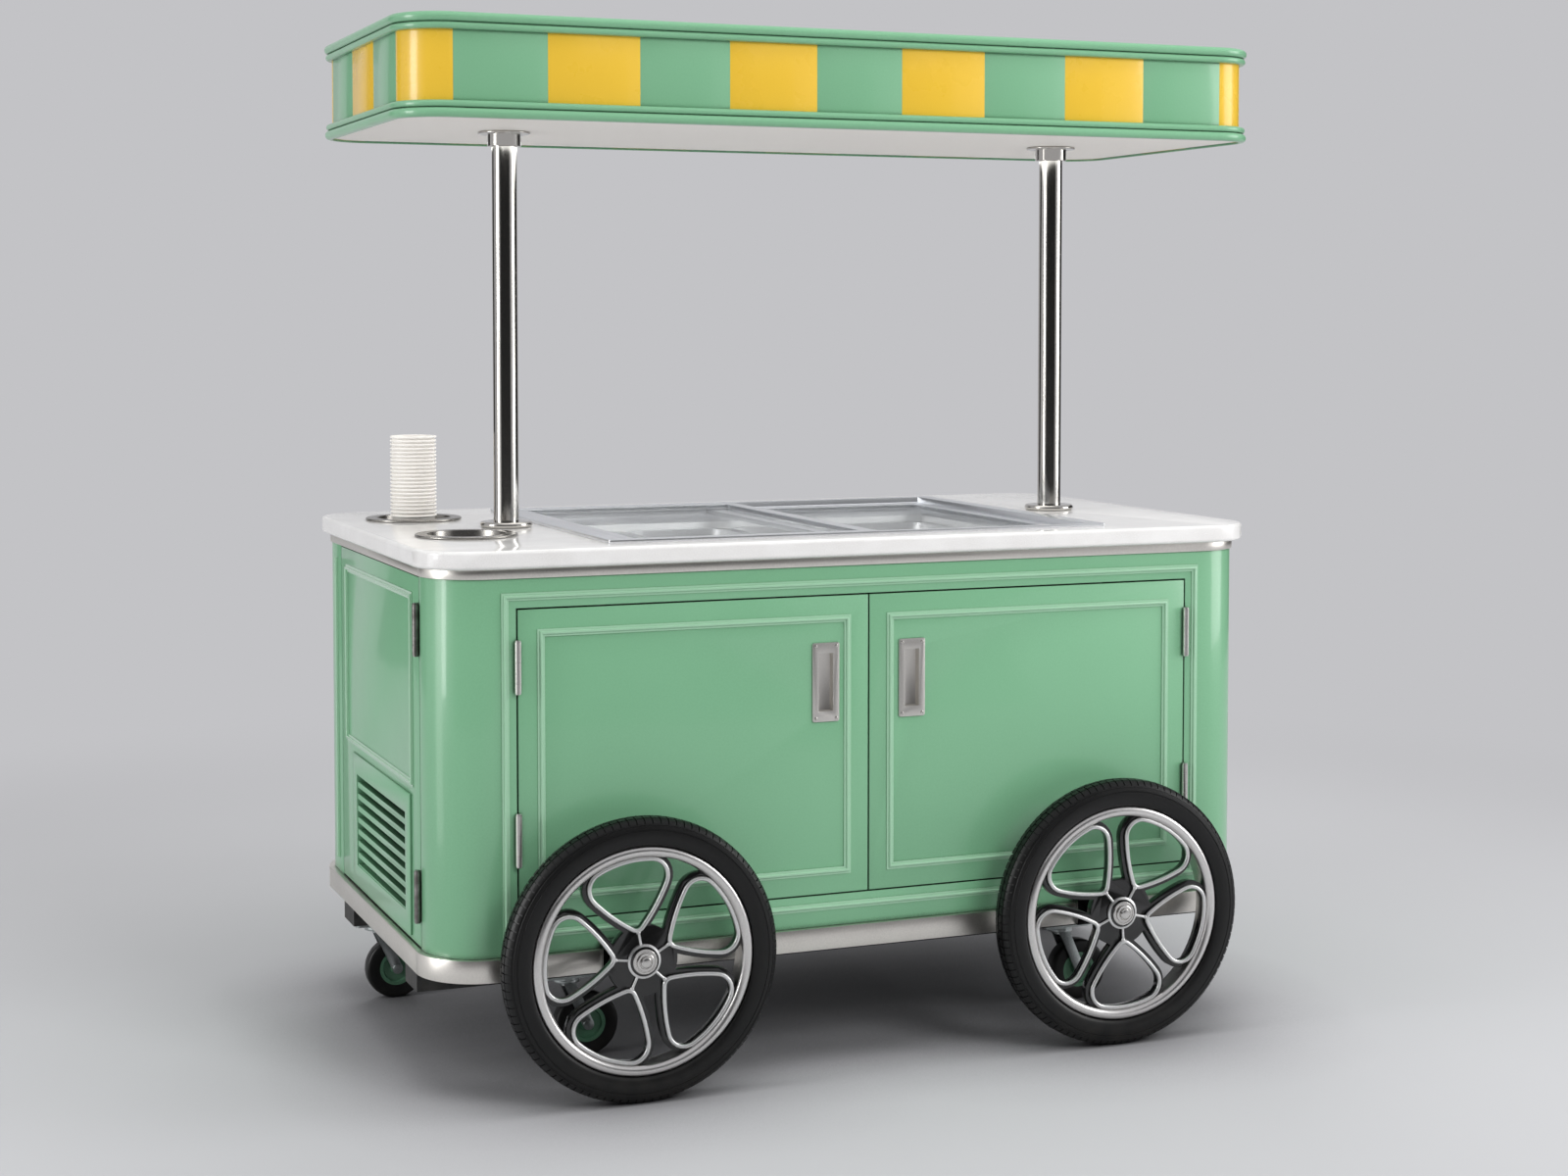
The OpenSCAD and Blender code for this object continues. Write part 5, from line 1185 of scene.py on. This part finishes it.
@dataclass
class LargeWheel:
    """A large wheel: treaded tyre, turned rim, spider, petal loops and hub cap."""

    side: str
    rim_h: float = 16.0 * MM
    rim_face: float = 21.0 * MM
    petals: int = 5
    bar_r: float = 4.2 * MM
    bar_sides: int = 14
    stem_r: float = 2.6 * MM
    knuckle_r: float = 4.2 * MM
    collar_segments: int = 72
    petal_half_w: float = 75.0 * MM
    corner_r: float = 32.0 * MM
    tip_r: float = 14.0 * MM
    tip_off: float = 58.0 * MM
    side_r: float = 330.0 * MM
    rim_gap: float = 4.5 * MM
    hub_r: float = 27.0 * MM
    turn_left_deg: float = 11.0
    turn_right_deg: float = 40.0
    blocks: int = 104
    block_fill: float = 0.86
    segments: int = 208
    bend_steps: int = 14
    over_steps: int = 16
    spider_ease_mm: float = 1.2
    spider_crease_deg: float = 40.0
    cap_crease_deg: float = 25.0
    tread_crease_deg: float = 30.0
    loop_crease_deg: float = 50.0

    @property
    def body(self) -> str:
        """The wheel's CAD body."""
        return f"{self.side}_wheel"

    @property
    def bead_r(self) -> float:
        """The radius where the tyre sits on the rim."""
        low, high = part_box(f"wheel_{self.side}_rim")
        return (high.z - low.z) / 2

    @property
    def rim_w(self) -> float:
        """The rim's width along the axle."""
        low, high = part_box(f"wheel_{self.side}_rim")
        return high.y - low.y

    @property
    def place(self) -> Matrix:
        """From the wheel's own axes, z out along the axle, to the part's frame."""
        tyre = centre_of(f"wheel_{self.side}_tyre")
        return Matrix.Translation(tyre) @ Matrix.Rotation(math.pi / 2, 4, "X")

    def dress(self, bench: Bench) -> None:
        """Makes the wheel's pieces and hands them over.

        Args:
            bench: The bench that makes the pieces.
        """
        node = f"wheel_{self.side}_"
        tyre = self._tyre(bench)
        bench.hand_over(bench.moved(tyre, self.place), self.body, [node + "tyre"])
        rim = bench.turned(f"turned_rim_{self.side}", self._rim_profile(), self.segments)
        bench.smooth(rim)
        bench.hand_over(bench.moved(rim, self.place), self.body, [node + "rim"], RIM_METAL)
        bench.dressed(node + "spider", self.body, ENAMEL, self.spider_ease_mm, self.spider_crease_deg)
        loops = self._loops(bench)
        bench.hand_over(bench.moved(loops, self.place), self.body, [node + "loops"])
        cap = bench.turned(f"ringed_cap_{self.side}", self._cap_profile(), self.collar_segments)
        bench.smooth(cap, self.cap_crease_deg)
        bench.hand_over(bench.moved(cap, self.place), self.body, [node + "cap"], CAP_METAL)

    def _cap_profile(self) -> list[Point]:
        """Draws the hub cap: a flange, two raised rings and a round button, inside the CAD cap.

        Returns:
            Radius and height of each corner, in order round the section.
        """
        low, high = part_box(f"wheel_{self.side}_cap")
        middle = centre_of(f"wheel_{self.side}_tyre").y
        foot, top, brim = middle - high.y, middle - low.y, (high.x - low.x) / 2
        rise = top - foot
        steps = [(1.0, 0.0), (1.0, 0.25), (0.94, 0.36), (0.82, 0.38), (0.80, 0.30), (0.74, 0.30),
                 (0.72, 0.52), (0.66, 0.58), (0.54, 0.58), (0.50, 0.50), (0.45, 0.50), (0.43, 0.80),
                 (0.36, 0.92), (0.20, 0.99)]
        return [(POLE_R, foot)] + [(brim * r, foot + rise * h) for r, h in steps] + [(POLE_R, top)]

    def _rim_profile(self) -> list[Point]:
        """Draws the rim: two round lips and a flat bed.

        Returns:
            Radius and height of each corner, in order round the section.
        """
        lip = self.rim_face / 2
        middle, reach = self.bead_r - lip, self.rim_w / 2 - lip
        front = arc((middle, reach), lip, 0, 180, self.bend_steps)
        back = arc((middle, -reach), lip, 180, 180, self.bend_steps)
        return front + back

    def _tyre(self, bench: Bench) -> bpy.types.Object:
        """Makes the tyre: a turned carcass with rows of tread blocks.

        Args:
            bench: The bench that makes the pieces.

        Returns:
            The tyre, about the Z axis.
        """
        rubber = bench.finish(RUBBER)
        carcass = bench.turned(f"treaded_tyre_{self.side}", self._carcass(), self.segments)
        carcass.data.materials.append(rubber)
        rows = [carcass]
        for number, section in enumerate(self._block_sections()):
            sweep = 360 / self.blocks * self.block_fill
            block = bench.turned("tread_block", section, 2, sweep)
            ring = bench.pattern(f"tread_row_{number}", bench.patterns.array, {
                "Piece": block, "Count": self.blocks, "Step": (0, 0, 0), "Turn": 2 * math.pi / self.blocks,
                "Material": rubber})
            half_step = math.pi / self.blocks * (number % 2)
            bench.moved(ring, Matrix.Rotation(half_step, 4, "Z"))
            bench.scrap(block)
            rows.append(ring)
        tyre = bench.joined(f"treaded_tyre_{self.side}", rows)
        bench.smooth(tyre, self.tread_crease_deg)
        return tyre

    def _carcass(self) -> list[Point]:
        """Draws the tyre's carcass, with the sidewall's ring lines and the bed of the tread.

        Returns:
            Radius and height of each corner, in order round the section.
        """
        wall = [(0.0, 22.0), (2.0, 24.6), (6.0, 26.4), (12.0, 27.6), (18.0, 28.0), (24.0, 27.7),
                (27.4, 27.2), (28.0, 26.2), (29.2, 26.1), (29.8, 26.9), (33.0, 26.2), (35.6, 25.4),
                (36.2, 24.3), (37.4, 23.9), (38.0, 24.4), (39.4, 23.7), (39.9, 21.6), (41.9, 18.9),
                (44.7, 15.5), (46.1, 13.0), (46.7, 8.0)]
        half = [(self.bead_r + r * MM, z * MM) for r, z in wall]
        return half + [(r, -z) for r, z in reversed(half)]

    def _block_sections(self) -> list[list[Point]]:
        """Draws the tread rows: two shoulders and two crown rows.

        Returns:
            The section of each row.
        """
        shoulder = [(39.7, 21.2), (41.6, 18.6), (44.4, 15.2), (45.8, 13.2),
                    (48.3, 13.6), (46.5, 17.3), (43.1, 21.0), (39.8, 23.4)]
        crown = [(45.9, 11.4), (46.3, 7.4), (46.4, 1.6), (49.9, 1.6), (49.4, 7.4), (48.7, 11.4)]
        sections = []
        for row in (shoulder, crown):
            half = [(self.bead_r + r * MM, z * MM) for r, z in row]
            sections += [half, [(r, -z) for r, z in reversed(half)]]
        return sections

    def _petal_path(self) -> list[Point]:
        """Draws one petal loop: a tip, bowed sides, corners and the outer arc.

        Returns:
            Points along the bar's middle line, which is closed.
        """
        out_r = self.bead_r - self.rim_h - self.rim_gap - self.bar_r
        tip = Vector((0, self.tip_off + self.tip_r))
        x = self.petal_half_w - self.corner_r
        corner = Vector((x, math.sqrt((out_r - self.corner_r) ** 2 - x * x)))
        near, far = self.side_r - self.tip_r, self.side_r - self.corner_r
        span = corner - tip
        along = (near ** 2 - far ** 2 + span.length_squared) / (2 * span.length)
        unit = span.normalized()
        bow = tip + unit * along + Vector((-unit.y, unit.x)) * math.sqrt(near ** 2 - along ** 2)
        a0, a1, a2 = (math.degrees(math.atan2(v.y, v.x)) for v in (tip - bow, corner - bow, corner))
        right = arc(bow, self.side_r, a0, a1 - a0, self.bend_steps)[:-1]
        right += arc(corner, self.corner_r, a1, a2 - a1, self.bend_steps)[:-1]
        over = arc((0, 0), out_r, a2, 180 - 2 * a2, self.over_steps)
        left = [(-px, py) for px, py in reversed(right)]
        under = arc(tip, self.tip_r, 180 - a0, 180 + 2 * a0, self.bend_steps)[1:-1]
        return right + over[:-1] + left + under

    def _loops(self, bench: Bench) -> bpy.types.Object:
        """Bends the petal loops, with their stems and the collar round the hub.

        Args:
            bench: The bench that makes the pieces.

        Returns:
            The loops, about the Z axis.
        """
        silver = bench.finish(LOOP_METAL)
        points = [(x, y, 0) for x, y in self._petal_path()]
        ring = [(i, (i + 1) % len(points)) for i in range(len(points))]
        petal_path = bench.solid("petal_bar", points, [], ring)
        petal = bench.pattern("petal_bar", bench.patterns.bar, {
            "Radius": self.bar_r, "Sides": self.bar_sides, "Material": silver}, petal_path)
        ends = [(0, self.hub_r, 0), (0, self.tip_off + self.bar_r / 2, 0)]
        stem = bench.pattern("stem_bar", bench.patterns.bar, {
            "Radius": self.stem_r, "Sides": self.bar_sides, "Material": silver},
            bench.solid("stem_bar", ends, [], [(0, 1)]))
        pole, bulge, rise = self.knuckle_r, 0.62 * self.knuckle_r, 0.76 * self.knuckle_r
        knuckle = bench.turned("stem_knuckle", [
            (POLE_R, -pole), (bulge, -rise), (pole, 0), (bulge, rise), (POLE_R, pole)], self.bar_sides)
        bench.moved(knuckle, Matrix.Translation((0, self.tip_off - pole, 0)))
        knuckle.data.materials.append(silver)
        petal = bench.joined("petal_and_stem", [petal, stem, knuckle])
        flower = bench.pattern(f"petal_loops_{self.side}", bench.patterns.array, {
            "Piece": petal, "Count": self.petals, "Step": (0, 0, 0), "Turn": 2 * math.pi / self.petals,
            "Material": silver})
        bench.scrap(petal)
        brim, edge = self.hub_r + self.bar_r, 0.6 * self.bar_r
        collar = bench.turned("hub_collar", [
            (self.hub_r, -self.bar_r), (brim, -edge), (brim, edge), (self.hub_r, self.bar_r)],
            self.collar_segments)
        collar.data.materials.append(silver)
        flower = bench.joined(f"petal_loops_{self.side}", [flower, collar])
        bench.smooth(flower, self.loop_crease_deg)
        turn = math.radians(self.turn_left_deg if self.side == "left" else self.turn_right_deg)
        loop_z = centre_of(f"wheel_{self.side}_tyre").y - centre_of(f"wheel_{self.side}_loops").y
        return bench.moved(flower, Matrix.Translation((0, 0, loop_z)) @ Matrix.Rotation(turn, 4, "Z"))


@dataclass
class Caster:
    """A swivel caster: zinc fork, green hub and black tyre."""

    corner: str
    hub_r: float = 36.0 * MM
    bore_r: float = 5.05 * MM
    boss_r: float = 11.0 * MM
    web_r: float = 27.0 * MM
    web_dish: float = 5.5 * MM
    flank: float = 2.0 * MM
    seat_drop: float = 1.0 * MM
    seat_w: float = 3.0 * MM
    shoulder_r: float = 7.0 * MM
    shoulder_steps: int = 8
    segments: int = 64
    fork_ease_mm: float = 0.5

    @property
    def radius(self) -> float:
        """The wheel's radius."""
        low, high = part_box(f"caster_{self.corner}_wheel")
        return (high.z - low.z) / 2

    @property
    def half_w(self) -> float:
        """Half the wheel's width."""
        low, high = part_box(f"caster_{self.corner}_wheel")
        return (high.y - low.y) / 2

    def dress(self, bench: Bench) -> None:
        """Dresses the fork and makes the wheel.

        Args:
            bench: The bench that makes the pieces.
        """
        bench.dressed(f"caster_{self.corner}_fork", f"{self.corner}_fork", ZINC, self.fork_ease_mm)
        node = f"caster_{self.corner}_wheel"
        hub = bench.turned(f"caster_hub_{self.corner}", self._hub(), self.segments)
        hub.data.materials.append(bench.finish(CASTER_HUB))
        tyre = bench.turned(f"caster_tyre_{self.corner}", self._tyre(), self.segments)
        tyre.data.materials.append(bench.finish(RUBBER))
        wheel = bench.joined(f"caster_wheel_{self.corner}", [hub, tyre])
        bench.smooth(wheel)
        place = Matrix.Translation(centre_of(node)) @ Matrix.Rotation(math.pi / 2, 4, "X")
        bench.hand_over(bench.moved(wheel, place), f"{self.corner}_caster_wheel", [node])

    def _hub(self) -> list[Point]:
        """Draws the hub: a boss, a dished web and a rim flange.

        Returns:
            Radius and height of each corner, in order round the section.
        """
        dish, bed = self.half_w - self.web_dish, self.half_w - self.seat_drop
        half = [(self.bore_r, self.half_w), (self.boss_r, self.half_w), (self.boss_r + self.flank, dish),
                (self.web_r, dish), (self.web_r + self.flank, bed), (self.hub_r, bed)]
        return half + [(r, -z) for r, z in reversed(half)]

    def _tyre(self) -> list[Point]:
        """Draws the caster's tyre: flat sides, round shoulders and a crowned tread.

        Returns:
            Radius and height of each corner, in order round the section.
        """
        centre = (self.radius - self.shoulder_r, self.half_w - self.shoulder_r)
        corner = arc(centre, self.shoulder_r, 0, 90, self.shoulder_steps)
        seat = [(self.hub_r + self.seat_w, self.half_w), (self.hub_r, self.half_w - self.seat_drop)]
        half = [(self.radius, 0.0)] + corner + seat
        return half + [(r, -z) for r, z in reversed(half[1:])]


@dataclass(frozen=True)
class Lamp:
    """A soft rectangular lamp, which the camera doesn't show."""

    name: str
    spot: Place
    aim: Place
    size: tuple[float, float]
    watts: float
    mirrored: bool = True

    def hang(self) -> None:
        """Hangs the lamp at its spot, facing its aim."""
        light = bpy.data.lights.new(self.name, "AREA")
        light.shape = "RECTANGLE"
        light.size, light.size_y = self.size
        light.energy = self.watts
        obj = bpy.data.objects.new(self.name, light)
        obj.location = self.spot
        obj.rotation_euler = (Vector(self.aim) - Vector(self.spot)).to_track_quat("-Z", "Y").to_euler()
        obj.visible_camera = False
        obj.visible_glossy = self.mirrored
        bpy.context.scene.collection.objects.link(obj)


@dataclass
class Studio:
    """Pale floor with a painted shadow under the cart, soft lights, background and camera."""

    backdrop: str = "#C3C3C6"
    ambient: float = 0.36
    floor_tint: str = "#BDBDC0"
    floor_rough: float = 0.55
    floor_r: float = 40.0
    floor_sides: int = 64
    fade_from: float = 2.2
    fade_to: float = 4.1
    # Tint, reach and rays of the painted shadow under the cart
    painted_shadow_tint: str = "#242426"
    painted_shadow_reach: float = 0.35
    painted_shadow_rays: int = 8
    light_drop: float = 0.02
    light_size: tuple[float, float] = (1.5, 0.5)
    light_watts: float = 4.0
    card_tint: str = "#1A1A1A"
    card_away: float = 9.0
    card_z: tuple[float, float] = (0.01, 5.0)
    card_steps: int = 16
    strip_x: float = -2.2
    strip_y: tuple[float, float] = (-0.42, -0.02)
    strip_z: tuple[float, float] = (0.01, 1.4)
    strip_glow: float = 2.4
    eye: Place = (-1.953, -4.749, 1.414)
    heading_deg: float = 22.0
    pitch_deg: float = 2.94
    focal_px: float = 2550.0
    sensor: float = 36.0
    shift_y: float = -0.09

    # Start and sweep of each dark card, in degrees round from the camera
    CARDS = ((-40.0, 92.0), (104.0, 46.0), (-132.0, 26.0))
    LAMPS = (
        Lamp("key", (1.8, -5.6, 4.4), (0, 0, 0.9), (2.6, 2.6), 170, False),
        Lamp("left_box", (-5.0, -0.5, 2.0), (0, 0, 1.0), (1.5, 2.8), 108),
        Lamp("right_box", (4.6, -2.1, 2.1), (0, 0, 1.0), (2.4, 2.8), 86),
        Lamp("bounce", (0.8, -3.2, 0.3), (0, 0, 1.9), (3.0, 1.0), 12, False),
        Lamp("top", (0.2, -0.6, 5.2), (0, 0, 1.0), (4.6, 3.6), 112, False),
        Lamp("back", (1.4, 4.8, 3.4), (0, 0, 1.0), (3.0, 2.0), 90, False))

    def build(self, bench: Bench) -> None:
        """Sets up the stage.

        Args:
            bench: The bench that makes the pieces.
        """
        bpy.context.scene.view_settings.view_transform = "Standard"
        self._world()
        self._floor(bench)
        self._dark_cards(bench)
        self._bright_strip(bench)
        for lamp in (*self.LAMPS, self._canopy_light()):
            lamp.hang()
        self._camera()

    def _canopy_light(self) -> Lamp:
        """Places a weak lamp just below the canopy's soffit, over the display.

        Returns:
            The lamp.
        """
        low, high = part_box("canopy_soffit")
        x, y = (low.x + high.x) / 2, (low.y + high.y) / 2
        spot = (x, y, low.z - self.light_drop)
        return Lamp("canopy_light", spot, (x, y, 0), self.light_size, self.light_watts)

    @staticmethod
    def _seen(w: Wiring) -> bpy.types.NodeSocket:
        """Tells the rays that show the backdrop from those that light the object.

        Args:
            w: The material's or the world's wiring.

        Returns:
            1 on camera, glossy and transmission rays, else 0.
        """
        path = w.add("ShaderNodeLightPath").outputs
        first = w.math("MAXIMUM", path["Is Camera Ray"], path["Is Glossy Ray"])
        return w.math("MAXIMUM", first, path["Is Transmission Ray"])

    def _world(self) -> None:
        """Lights the object softly from all round and shows a pale backdrop."""
        world = bpy.data.worlds.new("studio")
        bpy.context.scene.world = world
        world.use_nodes = True
        world.node_tree.nodes.clear()
        w = Wiring(world.node_tree)
        light = w.add("ShaderNodeBackground", {"Color": (1, 1, 1, 1), "Strength": self.ambient})
        shown = w.add("ShaderNodeBackground", {"Color": srgb(self.backdrop), "Strength": 1.0})
        both = w.add("ShaderNodeMixShader", {0: self._seen(w), 1: light.outputs[0], 2: shown.outputs[0]})
        out = w.add("ShaderNodeOutputWorld")
        w.tree.links.new(both.outputs[0], out.inputs["Surface"])

    def _floor(self, bench: Bench) -> None:
        """Lays a floor that fades into the backdrop, with a painted shadow that darkens it under and near the
        cart.

        Args:
            bench: The bench that makes the pieces.
        """
        steps = self.floor_sides - 1
        outline = [(x, y, 0) for x, y in arc((0, 0), self.floor_r, 0, 360 * steps / self.floor_sides, steps)]
        floor = bench.solid("floor", outline, [tuple(range(len(outline)))])
        made = bpy.data.materials.new("studio_floor")
        made.use_nodes = True
        made.node_tree.nodes.clear()
        w = Wiring(made.node_tree)
        place = w.add("ShaderNodeTexCoord").outputs["Object"]
        away = w.add("ShaderNodeVectorMath", {0: place}, operation="LENGTH").outputs["Value"]
        fade = w.add("ShaderNodeMapRange", {
            "Value": away, "From Min": self.fade_from, "From Max": self.fade_to},
            interpolation_type="SMOOTHSTEP").outputs[0]
        # Painted shadow: ambient occlusion darkens the floor's colour towards a dark tint under and near the
        # cart
        near = w.add("ShaderNodeAmbientOcclusion", {
            "Color": srgb(self.floor_tint), "Distance": self.painted_shadow_reach},
            samples=self.painted_shadow_rays).outputs["AO"]
        shade = w.mix(near, srgb(self.painted_shadow_tint), srgb(self.floor_tint))
        lit = w.add("ShaderNodeBsdfPrincipled", {
            "Base Color": shade, "Roughness": self.floor_rough, "Specular IOR Level": 0.0})
        far = w.add("ShaderNodeEmission", {"Color": srgb(self.backdrop), "Strength": 1.0})
        factor = w.math("MULTIPLY", fade, self._seen(w))
        both = w.add("ShaderNodeMixShader", {0: factor, 1: lit.outputs[0], 2: far.outputs[0]})
        out = w.add("ShaderNodeOutputMaterial")
        w.tree.links.new(both.outputs[0], out.inputs["Surface"])
        floor.data.materials.append(made)

    def _dark_cards(self, bench: Bench) -> None:
        """Bends dark cards round the studio, which only glossy surfaces show.

        Args:
            bench: The bench that makes the pieces.
        """
        verts, faces = [], []
        for start, sweep in self.CARDS:
            first = len(verts)
            line = arc((0, 0), self.card_away, 270 - self.heading_deg + start, sweep, self.card_steps)
            verts += [(x, y, z) for x, y in line for z in self.card_z]
            faces += [tuple(first + 2 * i + j for j in (0, 1, 3, 2)) for i in range(self.card_steps)]
        self._mirrored_only(bench.solid("dark_cards", verts, faces), {"Base Color": srgb(self.card_tint)})

    def _bright_strip(self, bench: Bench) -> None:
        """Stands a bright strip at the left, whose reflection runs up the rounded front corner.

        Args:
            bench: The bench that makes the pieces.
        """
        verts = [(self.strip_x, y, z) for y in self.strip_y for z in self.strip_z]
        strip = bench.solid("bright_strip", verts, [(0, 2, 3, 1)])
        self._mirrored_only(strip, {"Base Color": srgb("#000000"), "Emission Color": srgb("#FFFFFF"),
                                    "Emission Strength": self.strip_glow})

    @staticmethod
    def _mirrored_only(card: bpy.types.Object, look: dict) -> None:
        """Gives a card its look and lets glossy surfaces alone show it.

        Args:
            card: The card.
            look: Values of its shader's inputs by name.
        """
        made = bpy.data.materials.new(card.name)
        made.use_nodes = True
        shader = made.node_tree.nodes["Principled BSDF"]
        for name, value in look.items():
            shader.inputs[name].default_value = value
        card.data.materials.append(made)
        card.visible_camera = False
        card.visible_diffuse = False
        card.visible_shadow = False
        card.visible_transmission = False

    def _camera(self) -> None:
        """Stands the camera at the photograph's viewing angle."""
        lens = bpy.data.cameras.new("view")
        lens.sensor_width = self.sensor
        lens.lens = self.focal_px / IMAGE_W * self.sensor
        lens.shift_y = self.shift_y
        camera = bpy.data.objects.new("view", lens)
        camera.location = self.eye
        camera.rotation_euler = (math.radians(90 - self.pitch_deg), 0, math.radians(-self.heading_deg))
        bpy.context.scene.collection.objects.link(camera)
        bpy.context.scene.camera = camera


def main() -> None:
    """Builds the cart's looks and the studio round it."""
    logging.basicConfig(level=logging.INFO, format="%(name)s: %(message)s")
    bench = Bench()
    sides = ("left", "right")
    pieces = [Cabinet(), *map(FrontDoor, sides), ServiceDoor(), Display(), CupStation(), Canopy(),
              *map(LargeWheel, sides)]
    pieces += [Caster(f"{end}_{side}") for end in ("front", "rear") for side in sides]
    for piece in pieces:
        piece.dress(bench)
    bench.coated("caster_plates", ZINC)
    Studio().build(bench)


if __name__ == "__main__":
    main()
